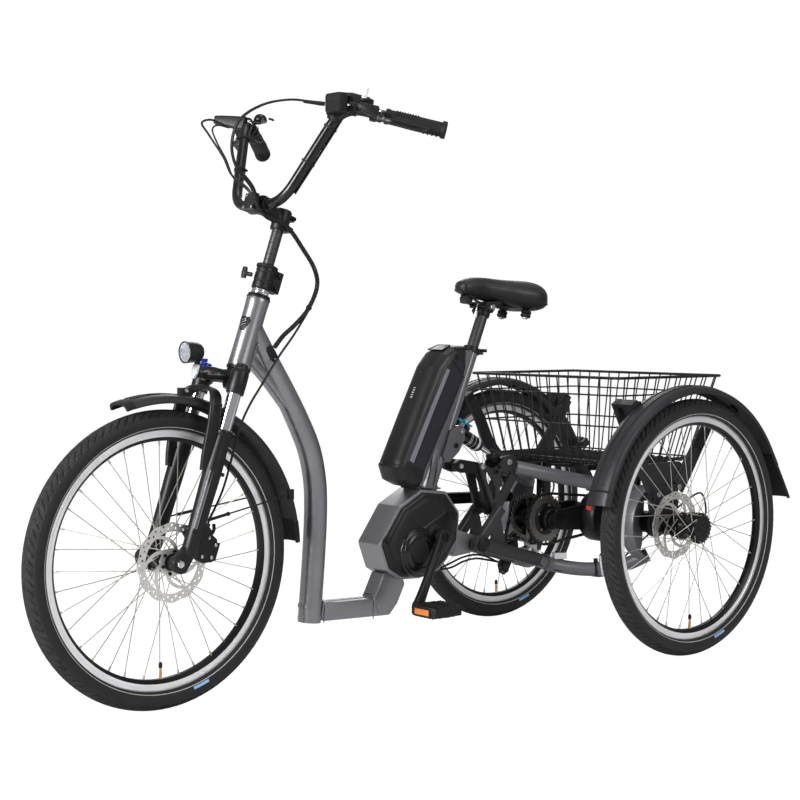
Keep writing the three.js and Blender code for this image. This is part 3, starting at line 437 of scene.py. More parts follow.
class Piece:
    """Gathers shapes into one mesh, each with its own material."""

    def __init__(self):
        self.points, self.faces, self.looks, self.materials = [], [], [], []

    def add(self, shape, look):
        points, faces = shape
        base = len(self.points)
        if look not in self.materials:
            self.materials.append(look)
        self.points += [tuple(p) for p in points]
        self.faces += [tuple(base + i for i in f) for f in faces]
        self.looks += [self.materials.index(look)] * len(faces)
        return self

    def build(self, name, body, slot, stands_for=(), bevel=0.0, sharp=38, segments=2, between=None):
        """Makes the object. It rides one body, or, given between, stays fixed where it is built: the bodies and
        points in between=(a, b, start, end) are not used.
        """
        mesh = bpy.data.meshes.new(name)
        mesh.from_pydata(self.points, [], self.faces)
        mesh.polygons.foreach_set("material_index", self.looks)
        for look in self.materials:
            mesh.materials.append(MAT[look])
        mesh.validate()
        piece = bpy.data.objects.new(name, mesh)
        bpy.context.scene.collection.objects.link(piece)
        mesh.shade_smooth()
        if bevel:
            round_off = piece.modifiers.new("edges", "BEVEL")
            round_off.width = bevel / 1000
            round_off.segments = segments
            round_off.limit_method = "ANGLE"
            round_off.angle_limit = math.radians(34)
            round_off.harden_normals = True
        else:
            mesh.set_sharp_from_angle(angle=math.radians(sharp))
        if between:
            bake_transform(piece)
        else:
            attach(piece, body)
        if stands_for:
            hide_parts(*stands_for)
        return piece


# ---- wheels ----
SPOKES = 36
RIM_R = 259
RIM_IN = 238
TREAD_END = math.radians(64)
BAND_FROM, BAND_TO = math.radians(117), math.radians(120.5)
PATCH_FROM, PATCH_TO = math.radians(99), math.radians(112)


def on_wheel(cx, cy, x, r, a):
    """A point of a wheel: x out from its middle plane, r from its axle, a round it from the top to the rear."""
    return at(cx + x, cy + r * math.sin(a), WHEEL_R + r * math.cos(a))


def tread_depth(side, arc):
    """How deep the tread is cut, in mm, at a distance from the centre line and along the tyre."""
    cut = 0.0
    across = abs(side)
    if 4.2 < across < 6.2:
        cut = 1.6
    slanted = (arc + across * 1.1 * (1 if side > 0 else -1) + (9 if side > 0 else 0)) % 19
    if across > 6 and slanted < 4.0:
        cut = 2.4
    middle_cut = (arc - side * 1.6) % 19
    if across <= 4.4 and middle_cut < 3.2:
        cut = 1.5
    rib = (arc + across * 3.0) % 9.5
    if across > 19 and rib < 2.6:
        cut = max(cut, 1.1)
    return cut


def make_tyre(name, body, cx, cy, node_name):
    section_r = 1000 * (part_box(node_name)[1].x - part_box(node_name)[0].x) / 2
    centre = WHEEL_R - section_r
    around = 960
    crown = [math.radians(d) for d in range(-64, 65, 4)]
    wall = [math.radians(d) for d in (72, 80, 88, 98, 106, 112, 117, 120.5, 126, 134)]
    angles = [-a for a in reversed(wall)] + crown + wall
    rows = []
    for i in range(around):
        a = TAU * i / around
        arc = a * WHEEL_R
        row = []
        for phi in angles:
            side = phi * section_r
            cut = tread_depth(side, arc) if abs(phi) < TREAD_END else 0
            r = section_r - cut
            row.append(on_wheel(cx, cy, r * math.sin(phi), centre + r * math.cos(phi), a))
        rows.append(row)
    points, faces = grid(rows, wrap_u=True, wrap_v=True)
    piece = Piece().add((points, faces), "tyre")
    piece.materials += ["tread", "reflex", "blue"]
    m = len(angles)
    outer = len(angles) - 1
    for f in range(len(faces)):
        k = f % m
        turn = (f // m) * 360 / around
        if k == outer:
            continue
        mid = abs(angles[k] + angles[k + 1]) / 2
        if mid < TREAD_END:
            side = (angles[k] + angles[k + 1]) / 2 * section_r
            piece.looks[f] = 1 if tread_depth(side, math.radians(turn) * WHEEL_R) < 1.3 else 0
        elif BAND_FROM < mid < BAND_TO:
            piece.looks[f] = 2
        elif PATCH_FROM < mid < PATCH_TO and 158 < turn < 166:
            piece.looks[f] = 3
    return piece.build(name, body, "tyre_rubber", [node_name], sharp=60)


def make_rim(name, body, cx, cy, node_name):
    axis, origin = X, at(cx, cy, WHEEL_R)
    piece = Piece()
    for side in (1, -1):
        track = [(RIM_R + 3, 9.6), (RIM_R + 3, 11.6), (RIM_R + 1, 12.2), (RIM_R - 5.6, 12.2), (RIM_R - 6.2, 11.7),
                 (RIM_R - 6.8, 12.2), (RIM_R - 13, 12.2), (RIM_R - 13, 9)]
        piece.add(turned([(r, side * x) for r, x in track], origin, axis, 144, closed=True), "alloy")
    well = [(RIM_R - 2, 10), (RIM_R - 12.8, 10), (RIM_R - 12.8, 12), (RIM_IN + 3, 8), (RIM_IN, 4.5), (RIM_IN, -4.5),
            (RIM_IN + 3, -8), (RIM_R - 12.8, -12), (RIM_R - 12.8, -10), (RIM_R - 2, -10)]
    piece.add(turned(well, origin, axis, 144, closed=True), "dark_alloy")
    foot = on_wheel(cx, cy, 0, RIM_IN + 2, math.pi)
    up = (origin - foot).normalized()
    piece.add(turned([(4.2, 0), (4.2, 2.4), (2.9, 2.6), (2.9, 17), (2.5, 17), (2.5, 25)], foot, up, 14), "brass")
    piece.add(turned([(3.6, 24), (3.9, 25), (3.9, 31), (3.0, 34.5), (2.2, 35)], foot, up, 14), "rubber")
    return piece.build(name, body, "rim_alloy", [node_name], sharp=30)


def spoke_set(piece, cx, cy, flanges, flange_r):
    for k in range(SPOKES):
        a = TAU * k / SPOKES
        x = flanges[k % 2]
        lean = math.radians(66) * (1 if k % 4 < 2 else -1)
        root = on_wheel(cx, cy, x + (1.6 if k % 4 < 2 else -1.6), flange_r - 4, a + lean)
        tip = on_wheel(cx, cy, 2.2 if x > 0 else -2.2, RIM_IN + 1, a)
        along = (root - tip).normalized()
        piece.add(bar(root, tip, 1.0, 7), "spoke")
        piece.add(turned([(1.7, -1), (2.1, 1.5), (2.1, 9), (1.5, 11)], tip, along, 8), "spoke")
        piece.add(ball(root, 2.0, 4, 8), "spoke")


def make_rotor(name, body, cx, cy, x, node_name):
    """A brake disc with a wavy drilled band, six curved arms and a bolted carrier."""
    def spot(r, a):
        return r * math.cos(a), r * math.sin(a)

    rim = [spot(78.6 + 1.3 * math.cos(12 * TAU * k / 240), TAU * k / 240) for k in range(240)]
    outlines = [rim, circle2(17.2, 32)]
    for k in range(12):
        a = TAU * k / 12
        for r, offset in ((74, 0.0), (68.2, 0.13), (74, 0.26), (68.2, 0.39)):
            outlines.append(circle2(2.5, 12, *spot(r, a + offset)))
    arms = 6
    for k in range(arms):
        a = TAU * k / arms
        width = TAU / arms
        window = []
        for i in range(9):
            t = i / 8
            window.append(spot(61.5, a + 0.13 + (width - 0.2) * t))
        for i in range(7):
            t = i / 6
            r = 61.5 - 33 * t
            window.append(spot(r, a + width - 0.07 - 0.95 * t))
        for i in range(5):
            t = 1 - i / 4
            window.append(spot(28.5, a - 0.9 + 0.18 + (width - 0.4) * t))
        for i in range(7):
            t = i / 6
            r = 28.5 + 33 * t
            window.append(spot(r, a - 0.72 + 0.85 * t))
        outlines.append(window)
    for k in range(6):
        outlines.append(circle2(2.6, 10, *spot(22.3, TAU * k / 6 + 0.3)))
    piece = Piece()
    origin = at(cx + x, cy, WHEEL_R)
    piece.add(cutout(outlines, 1.9, origin, Y, Z), "rotor")
    outward = Vector((1 if x * (1 if cx >= 0 else -1) > 0 or cx == 0 else -1, 0, 0))
    for k in range(6):
        u, v = spot(22.3, TAU * k / 6 + 0.3)
        spot3 = at(cx + x, cy + u, WHEEL_R + v) + outward * 0.0009
        piece.add(bolt(spot3, outward, 3.6, 2.6), "dark_alloy")
    return piece.build(name, body, "steel", [node_name], sharp=30)


def make_front_wheel():
    cx, cy, body = 0, -WHEELBASE, "front_wheel"
    make_tyre("front_tyre_tread", body, cx, cy, "front_tyre")
    make_rim("front_rim_rings", body, cx, cy, "front_rim")
    origin, axis = at(cx, cy, WHEEL_R), X
    hub = Piece()
    shell = [(6, -48), (13, -48), (13.5, -40), (15, -36), (20, -33), (24, -32), (24, -28.6), (17, -27), (13.5, -20),
             (12.6, 0), (14, 14), (17, 22), (24, 24.4), (24, 27.8), (19, 29), (17, 32), (17, 41.5), (13.8, 42),
             (13.8, 52), (6, 52.6)]
    hub.add(turned(shell, origin, axis, 40), "dark_alloy")
    spoke_set(hub, cx, cy, (-30, 26), 24)
    hub.build("front_hub_spokes", body, "steel", ["front_hub"], sharp=32)
    make_rotor("front_disc", body, cx, cy, 43, "front_rotor")


def make_rear_wheel(side, word):
    cx, cy, body = side * TRACK_HALF, 0, f"wheel_{word}"
    make_tyre(f"rear_{word}_tyre_tread", body, cx, cy, f"rear_{word}_tyre")
    make_rim(f"rear_{word}_rim_rings", body, cx, cy, f"rear_{word}_rim")
    origin, axis = at(cx, cy, WHEEL_R), Vector((side, 0, 0))
    hub = Piece()
    shell = [(11.8, -126), (11.8, -86), (15, -84), (16, -80), (16, -54), (22, -53), (27, -50), (27, -46.6), (20, -45),
             (19, -36), (22, -28), (33.5, -26), (33.5, -22.4), (24, -20), (20, -8), (20, 10), (24, 18)]
    hub.add(turned(shell, origin, axis, 44), "dark_alloy")
    teeth = 24
    outline = []
    for k in range(teeth):
        for offset, r in ((0, 33), (0.25, 36), (0.5, 36), (0.75, 33)):
            a = TAU * (k + offset) / teeth
            outline.append((r * math.cos(a), r * math.sin(a)))
    hub.add(cutout([outline], 12, origin + axis * 0.025, Y, Z), "dark_alloy")
    cap = [(30, 29), (30, 33), (27, 35.5), (17, 36.2), (16, 35), (9, 35), (8, 37.6), (0.1, 38)]
    hub.add(turned(cap, origin, axis, 40), "dark_alloy")
    spoke_set(hub, cx, cy, (-24 * side, 30 * side), 33)
    hub.build(f"rear_{word}_hub_spokes", body, "steel", [f"rear_{word}_hub"], bevel=0.5, sharp=32)
    make_rotor(f"rear_{word}_disc", body, cx, cy, -48 * side, f"rear_{word}_rotor")


# ---- fenders ----
def fender_section(r, half, thick):
    """The outer side of a fender's section and then its inner side, as (x, r)."""
    outer = [(-half, r - 18), (-half, r - 13), (-half + 1.5, r - 8), (-half + 6, r - 4), (-half + 14, r - 1.2),
             (0, r), (half - 14, r - 1.2), (half - 6, r - 4), (half - 1.5, r - 8), (half, r - 13), (half, r - 18)]
    inner = [(x * (half - thick) / half, q - thick * 0.9) for x, q in reversed(outer)]
    inner[0] = (inner[0][0], outer[0][1])
    inner[-1] = (inner[-1][0], outer[0][1])
    return outer + inner


def fender_shell(cx, cy, start, end, flare=0.0, flare_from=1.0, r=FENDER_R, half=32, thick=2.4, steps=96):
    rows = []
    for i in range(steps + 1):
        a = math.radians(start + (end - start) * i / steps)
        grow = flare * max(0, a - flare_from) ** 2
        rows.append([on_wheel(cx, cy, x, q + grow, a) for x, q in fender_section(r, half, thick)])
    return capped(rows)


def make_front_fender():
    cy = -WHEELBASE
    piece = Piece()
    piece.add(fender_shell(0, cy, -14, 84), "fender")
    piece.add(fender_shell(0, cy, -17, -13.6, r=FENDER_R + 0.6, half=33, thick=6, steps=4), "plastic")
    piece.add(fender_shell(0, cy, 80, 88, r=FENDER_R + 0.6, half=33, thick=4, steps=6), "rubber")
    for x in (-10, 10):
        rail = [on_wheel(0, cy, x, FENDER_R + 0.2, math.radians(a)) for a in range(-13, 83, 2)]
        piece.add(tube(rail, 1.0, 6), "fender")
    piece.build("front_fender_shell", "fork_slider", "fender_plastic", ["front_fender"], sharp=50)
    stays = Piece()
    for x, foot_w in ((60, -392), (-60, -392)):
        foot = st(x, LEG_V + 14, foot_w + 66)
        clip = on_wheel(0, cy, math.copysign(33, x), FENDER_R - 12, math.radians(69))
        stays.add(bar(foot, clip, 1.8, 8), "wire")
        stays.add(block(clip, (7, 14, 22)), "plastic")
        stays.add(bar(st(x, LEG_V + 4, foot_w + 66), foot, 4, 12), "plastic")
        knob = foot.lerp(clip, 0.28)
        stays.add(bar(foot.lerp(clip, 0.06), knob, 3.4, 10), "plastic")
        stays.add(ball(knob, 4.6, 6, 12), "plastic")
    lug = on_wheel(0, cy, 0, FENDER_R - 6, math.radians(10))
    stays.add(block(lug + Vector((0, 0, 0.012)), (16, 22, 20)), "black")
    stays.add(bolt(lug + Vector((0.008, 0, 0.016)), X, 4, 4), "steel")
    stays.build("front_fender_stays", "fork_slider", "black_metal", bevel=1.0)


def make_rear_fender(side, word):
    cx = side * TRACK_HALF
    piece = Piece()
    flare, cy = FLAP_FLARE, FENDER_SHIFT
    piece.add(fender_shell(cx, cy, -74, 66, flare=flare), "fender")
    piece.add(fender_shell(cx, cy, -77, -70, r=FENDER_R + 0.8, half=33.2, thick=4, steps=6), "fender")
    piece.add(fender_shell(cx, cy, 62, 82, flare=flare, r=FENDER_R - 1, half=31, thick=3.4, steps=18), "rubber")
    for x in (-11, 11):
        rail = [on_wheel(cx, cy, x, FENDER_R + flare * max(0, math.radians(a) - 1) ** 2, math.radians(a))
                for a in range(-69, 66, 2)]
        piece.add(tube(rail, 1.0, 6), "fender")
    piece.build(f"rear_fender_{word}_shell", "rear_arm", "fender_plastic", [f"rear_fender_{word}"], sharp=50)
    clips = Piece()
    for a in (-30, 34, 63):
        a = math.radians(a)
        radial = Vector((0, math.sin(a), math.cos(a)))
        grow = flare * max(0, a - 1) ** 2
        on = on_wheel(cx, cy, -side * 26, FENDER_R + grow - 1, a)
        clips.add(block(on, (26, 24, 16), X, radial), "plastic")
        clips.add(block(on - Vector((side * 0.018, 0, 0)) - radial * 0.006, (20, 20, 26), X, radial), "plastic")
        clips.add(bolt(on + radial * 0.008, radial, 4.5, 3), "black")
    strap = [on_wheel(cx, cy, x, FENDER_R + 0.8, math.radians(-71.4)) for x in np.linspace(-33, 33, 9)]
    clips.add(tube(strap, 2.2, 8), "plastic")
    shine = on_wheel(cx, cy, -side * 24, FENDER_R - 10, math.radians(-78.2))
    clips.add(block(shine, (15, 4, 9), X, Z), "red")
    clips.build(f"rear_fender_{word}_clips", "rear_arm", "black_plastic", bevel=1.6)


def beam(path, half_a, half_b, up=None, square=0.5, sides=24, caps=True):
    """A bar of rounded-rectangular section along a path: half sizes in mm, half_a along `up`. square 1 is an oval."""
    a_sizes = half_a if isinstance(half_a, (list, tuple)) else [half_a] * len(path)
    b_sizes = half_b if isinstance(half_b, (list, tuple)) else [half_b] * len(path)
    turns = [tuple(math.copysign(abs(q) ** square, q) for q in (math.cos(TAU * k / sides), math.sin(TAU * k / sides)))
             for k in range(sides)]
    rows = [[p + a * (ha / 1000 * u) + b * (hb / 1000 * v) for u, v in turns]
            for p, (a, b), ha, hb in zip(path, frames(path, up), a_sizes, b_sizes)]
    return capped(rows, inside_out=True) if caps else grid(rows, wrap_v=True)


def weld(points, r=1.6):
    """A line of small weld ripples along a path."""
    path = smooth_path(points, 14)
    radii = [r * (1 + 0.16 * math.sin(i * 2.1)) for i in range(len(path))]
    return tube(path, radii, 8)


def ring_points(origin, axis, r, n=28):
    axis = axis.normalized()
    a = axis.orthogonal().normalized()
    b = axis.cross(a)
    return [origin + (a * math.cos(TAU * k / n) + b * math.sin(TAU * k / n)) * (r / 1000) for k in range(n + 1)]


HEAD_FOOT = st(0, 0, 0)
STEER = (st(0, 0, 1) - HEAD_FOOT).normalized()
BACK = (st(0, 1, 0) - HEAD_FOOT).normalized()


# ---- frame ----
DOWN_TUBE = [(0, -1016, 756), (0, -979, 695), (0, -939, 632), (0, -901, 567), (0, -870, 502), (0, -855, 437),
             (0, -852, 380), (0, -856, 290), (0, -869, 132)]
HEAD_TUBE_R = 24.1
BADGE_R, BADGE_TURN = 24.3, 0.3


def make_frame_front():
    piece = Piece()
    path = smooth_path(places(DOWN_TUBE), 12)
    half = [21.5 + 3 * min(1, i / 42) for i in range(len(path))]
    piece.add(beam(path, half, [22.5 + 2 * min(1, i / 42) for i in range(len(path))], up=Vector((0, 1, 0.3)),
                   square=0.94, sides=40), "graphite")
    head = [(17.4, 0), (24, 0), (24.4, 1), (24.4, 12), (23.8, 20), (23.4, 76), (23.8, 134), (24.4, 142),
            (24.4, 152.6), (24, 153.6), (17.4, 153.6)]
    piece.add(turned(head, HEAD_FOOT, STEER, 48, closed=True), "graphite")
    strut = [at(0, -1030, 700), at(0, -985, 656), at(0, -944, 609), at(0, -921, 580), at(0, -903, 552)]
    path = smooth_path(strut, 6)
    piece.add(beam(path, [10.5 - 3.5 * i / (len(path) - 1) for i in range(len(path))], 14.5, up=Vector((0, 0.7, 0.7)),
                   square=0.6), "graphite")
    # The gusset panel between strut and down tube is painted lighter than the frame: a painted highlight.
    panel = [(-1026, 700), (-1018, 728), (-1004, 732), (-916, 584), (-928, 584), (-982, 654)]
    piece.add(prism(rounded(panel, 5), -10.4, 10.4), "graphite_painted_highlight")
    for x in (-10.8, 10.8):
        edge = [at(x, y, z)
                for y, z in rounded([(-1017, 704), (-1011, 722), (-1003, 720), (-924, 592), (-982, 663)], 4)]
        piece.add(tube(edge + edge[:1], 1.1, 6), "graphite")
    piece.add(weld([at(x, y, z)
                    for x, y, z in ((-20, -1018, 726), (-15, -1006, 748), (0, -1000, 764), (15, -1006, 748),
                                   (20, -1018, 726))], 1.6), "graphite")
    piece.add(weld(ring_points(at(0, -1027, 697), Vector((0, 0.72, -0.6)), 13)[4:18], 1.4), "graphite")
    for z in (170, 146):
        piece.add(beam([at(0, -868 + (z - 132) * 0.03, z), at(0, -868, z - 8)], 25.4, 25.4, up=Y,
                       square=0.95, sides=36), "graphite")
    port = at(22.4, -984, 708)
    piece.add(beam([port - X * 0.006, port + X * 0.0035], 9, 19, up=Vector((0, -0.85, -0.53)), square=0.8, sides=28),
              "plastic")
    piece.add(bolt(port + Vector((3.4, 7, -11)) / 1000, X, 2.6, 1.2), "steel")
    shield = [(-9, 14), (9, 14), (13, 6), (4, -16), (-4, -16), (-13, 6)]
    corners = [(u / BADGE_R, v) for u, v in rounded(shield, 3)]
    rows = []
    for scale, lift in ((1.0, 0.2), (1.0, 1.5), (0.9, 1.9)):
        r = HEAD_TUBE_R + lift
        rows.append([st(r * math.sin(BADGE_TURN + a * scale), -r * math.cos(BADGE_TURN + a * scale), 92 + v * scale)
                     for a, v in corners])
    points, faces = grid(rows, wrap_v=True)
    faces.append(tuple(range(2 * len(corners), 3 * len(corners))))
    piece.add((points, faces), "black")
    for k in range(3):
        line = []
        for i in range(7):
            u = -5.5 + 11 * i / 6
            v = -8 + 7.5 * k + u * 0.7
            a = BADGE_TURN + u / BADGE_R
            line.append(st(26.4 * math.sin(a), -26.4 * math.cos(a), 94 + v * 0.8))
        piece.add(tube(line, 0.9, 6), "arm_light")
    piece.build("frame_down_tube", "frame", "frame_graphite", ["main_frame_front"], sharp=40)
    cups = Piece()
    cups.add(turned([(17, -3.2), (24.6, -3.2), (25.4, -2.4), (25.4, 2.6), (24.6, 3.4), (17, 3.4)], HEAD_FOOT, STEER,
                    48, closed=True), "black")
    cups.add(turned([(17, 150.5), (24.8, 150.5), (25.4, 151.2), (25.2, 154), (22, 156), (17, 156)], HEAD_FOOT,
                    STEER, 48, closed=True), "black")
    cups.build("headset_cups", "frame", "black_metal")


def make_beam():
    piece = Piece()
    lower = [(-852, 134), (-661, 126.5), (-638, 150), (-616, 192), (-622, 203), (-645, 206), (-677, 224), (-706, 168),
             (-807, 171), (-846, 176)]
    piece.add(prism(rounded(lower, 9), -20, 20), "graphite")
    ridge = [at(0, -846, 174), at(0, -807, 170.5), at(0, -709, 168)]
    piece.add(tube(ridge, 1.8, 8), "graphite")
    for y, z, up in ((-706, 149, 26), (-843, 153, 22)):
        loop = [at(x, y + 2 * (z2 - z) / up, z2) for x, z2 in ((-20.6, z - up), (-20.6, z + up * 0.7), (-14, z + up),
                                                             (14, z + up), (20.6, z + up * 0.7), (20.6, z - up))]
        piece.add(weld(loop, 1.3), "graphite")
    seam = [at(20.6, -707, 166), at(20.6, -694, 140), at(20.6, -690, 129)]
    piece.add(weld(seam, 1.3), "graphite")
    foot = [at(20.6, -706, 167), at(20.6, -690, 193), at(20.6, -678, 219)]
    piece.add(weld(foot, 1.2), "graphite")
    piece.build("frame_low_beam", "frame", "frame_graphite", ["main_frame_beam"], bevel=4.5, segments=4)


CASE = [(-583, 402), (-510, 393), (-468, 343), (-473, 279), (-505, 238), (-533, 212), (-587, 203), (-643, 205),
        (-683, 228), (-706, 288), (-648, 368)]
COVER = [(-579, 395), (-514, 387), (-475, 340), (-480, 281), (-510, 242), (-538, 219), (-588, 210), (-640, 212),
         (-677, 233), (-698, 288), (-643, 362)]


def shrink(outline, by):
    """The outline moved in by about `by` mm toward its middle."""
    cu = sum(p[0] for p in outline) / len(outline)
    cv = sum(p[1] for p in outline) / len(outline)
    out = []
    for u, v in outline:
        d = math.hypot(u - cu, v - cv)
        out.append((cu + (u - cu) * (d - by) / d, cv + (v - cv) * (d - by) / d))
    return out


def stepped(outline, levels, per=3, radius=8):
    """A lidded shape whose outline moves in as it rises: levels is a list of (x, inset)."""
    rows = [[at(x, y, z) for y, z in rounded(shrink(outline, inset), radius, per)] for x, inset in levels]
    return capped(rows, inside_out=True)


def make_motor():
    case = Piece()
    case.add(stepped(CASE, [(-38, 3), (-36, 0), (36, 0), (38, 1.6), (38, 7), (35, 7.5)], per=5, radius=11), "case")
    tail = [(-480, 306), (-425, 288), (-410, 285), (-391, 266), (-410, 247), (-430, 244), (-480, 240)]
    case.add(prism(rounded(tail, 6), -28, 28), "case")
    case.add(cylinder(19, -31, 31, at(0, *PIVOT), X, 36), "black")
    for x in (-60.5, 60.5):
        out = X * math.copysign(1, x)
        case.add(cylinder(10, -34, 0, at(x, *PIVOT), out, 24), "black")
    for side in (-1, 1):
        out = X * side
        cap = [(13, 57.4), (17.5, 57.4), (18, 58), (18, 61), (16.5, 62.4), (10, 62.6), (9, 61.6), (0.1, 61.6)]
        case.add(turned(cap, at(0, *PIVOT), out, 32), "black")
    case.add(weld([at(28.6, -474, 304), at(28.6, -470, 290), at(28.6, -471, 262), at(28.6, -478, 243)], 1.4), "case")
    case.build("motor_case", "frame", "motor_shell", ["motor_casing"], bevel=3.0, segments=3)

    cover = Piece()
    cover.add(stepped(COVER, [(36.5, 0), (41, 0.4), (43.5, 4), (44.2, 9)], radius=7), "plastic_fine")
    inner = [(-572, 385), (-519, 378), (-485, 338), (-489, 286), (-522, 248), (-544, 230), (-588, 222), (-634, 224),
             (-666, 242), (-684, 288), (-638, 354)]
    cover.add(stepped(inner, [(42, 0), (45.5, 0), (48, 7), (48.6, 18)], radius=14), "plastic_fine")
    wing = [(-590, 318), (-512, 356), (-489, 334), (-494, 290), (-530, 250), (-562, 232), (-618, 230), (-654, 256),
            (-650, 292), (-628, 312)]
    cover.add(stepped(wing, [(47, 0), (50, 1), (52, 6), (52.4, 12)], radius=10), "gloss_black")
    disc = [(56, 46), (55, 51), (52, 54), (49, 54.6), (48.4, 56.2), (44, 59.4), (38, 60.6), (33, 60.8), (32, 59.6),
            (12, 59.6), (11, 60.6), (0.1, 60.8)]
    cover.add(turned(disc, at(0, -599, 263), X, 56), "gloss_black")
    cover.add(turned([(26, 59), (25.4, 61.4), (23.6, 62.2), (0.1, 62.2)], at(0, -606, 268), X, 44), "plastic")
    for y, z in ((-532, 376), (-687, 298)):
        cover.add(block(at(46.4, y, z), (5, 11, 11), X, Vector((0, -0.5, 0.86))), "plastic")
        cover.add(block(at(47.6, y, z), (4, 6, 6), X, Vector((0, -0.5, 0.86))), "black")
    boss = [(28, 46), (27, 52), (23.5, 55), (22.6, 55.6), (13, 55.6), (12, 54)]
    cover.add(turned(boss, at(0, CRANK_Y, CRANK_Z), X, 44), "plastic")
    cover.build("motor_cover_faces", "frame", "black_plastic", ["motor_cover"], bevel=1.6, segments=2)
    far = Piece()
    far.add(stepped(COVER, [(-38, 2), (-44, 2.6), (-48, 7), (-49, 14)], radius=8), "plastic_fine")
    far.add(turned([(40, 46), (38, 53), (30, 55), (14, 55)], at(0, CRANK_Y, CRANK_Z), -X, 40), "plastic")
    far.build("motor_far_cover", "frame", "black_plastic", bevel=1.4)


SEAT_AXIS = (at(*SEAT_TOP) - at(*SEAT_FOOT)).normalized()


def make_seat_tube():
    piece = Piece()
    top, foot = at(*SEAT_TOP), at(*SEAT_FOOT)
    flank = [(-511, 398), (-568, 405), (-571, 425), (-564, 462), (-538, 511), (-504, 569), (-457, 652), (-448, 676),
             (-437, 711), (-398, 711), (-522, 416)]
    piece.add(prism(rounded(flank, 4), -15.4, 15.4), "graphite")
    piece.add(turned([(0.1, 0), (17, 0), (16.6, 60), (16.6, 330), (16.6, 344), (14.4, 344)], foot, SEAT_AXIS, 40),
              "graphite")
    splay = smooth_path([at(0, -541, 399), at(0, -536, 414), at(0, -526, 444), at(0, -511, 486)], 6)
    n = len(splay)
    piece.add(beam(splay, [30 - 13 * (i / (n - 1)) ** 0.7 for i in range(n)],
                   [21 - 5 * (i / (n - 1)) ** 0.7 for i in range(n)], up=Y, square=0.62, sides=32), "graphite")
    for side in (1, -1):
        for y0, y1 in ((-553, -532), (-531, -517)):
            ridge = smooth_path([at(side * 20.4, y0, 404), at(side * 19.4, (y0 + y1) / 2, 430),
                                 at(side * 16.4, y1, 470)], 5)
            piece.add(tube(ridge, 1.3, 6), "graphite")
    ear = [(-507, 470), (-482, 530), (-463, 539), (-441, 536), (-437, 509), (-455, 480), (-487, 455)]
    for side in (-1, 1):
        piece.add(prism(rounded(ear, 8), side * 17, side * 22), "arm_light")
        piece.add(bolt(at(side * 22, *SHOCK_TOP), X * side, 6.5, 5), "steel")
        piece.add(bolt(at(side * 22, -466, 494), X * side, 6, 3.4), "black")
    for y, z in ((-570, 406), (-511, 399)):
        piece.add(weld([at(-20.4, y, z), at(0, y - 1, z + 1), at(20.4, y, z)], 1.6), "graphite")
    piece.add(weld([at(21, -568, 404), at(21, -540, 401), at(21, -514, 398)], 1.7), "graphite")
    piece.build("frame_seat_tube", "frame", "frame_graphite", ["seat_tube"], sharp=36)
    collar = Piece()
    collar.add(turned([(14.4, -11), (19.4, -11), (20.4, -9.6), (20.4, 0.4), (19, 1.8), (14.4, 1.8)], top, SEAT_AXIS,
                      44, closed=True), "black")
    ears = top - SEAT_AXIS * 0.005 + Vector((0, 0.024, -0.004))
    collar.add(block(ears, (20, 12, 10), X, SEAT_AXIS), "black")
    collar.add(cylinder(2.6, -13, 13, ears + Vector((0, 0.002, 0)), X, 12), "steel")
    collar.build("seat_collar", "frame", "black_metal", bevel=1.2)


def make_frame():
    make_frame_front()
    make_beam()
    make_motor()
    make_seat_tube()


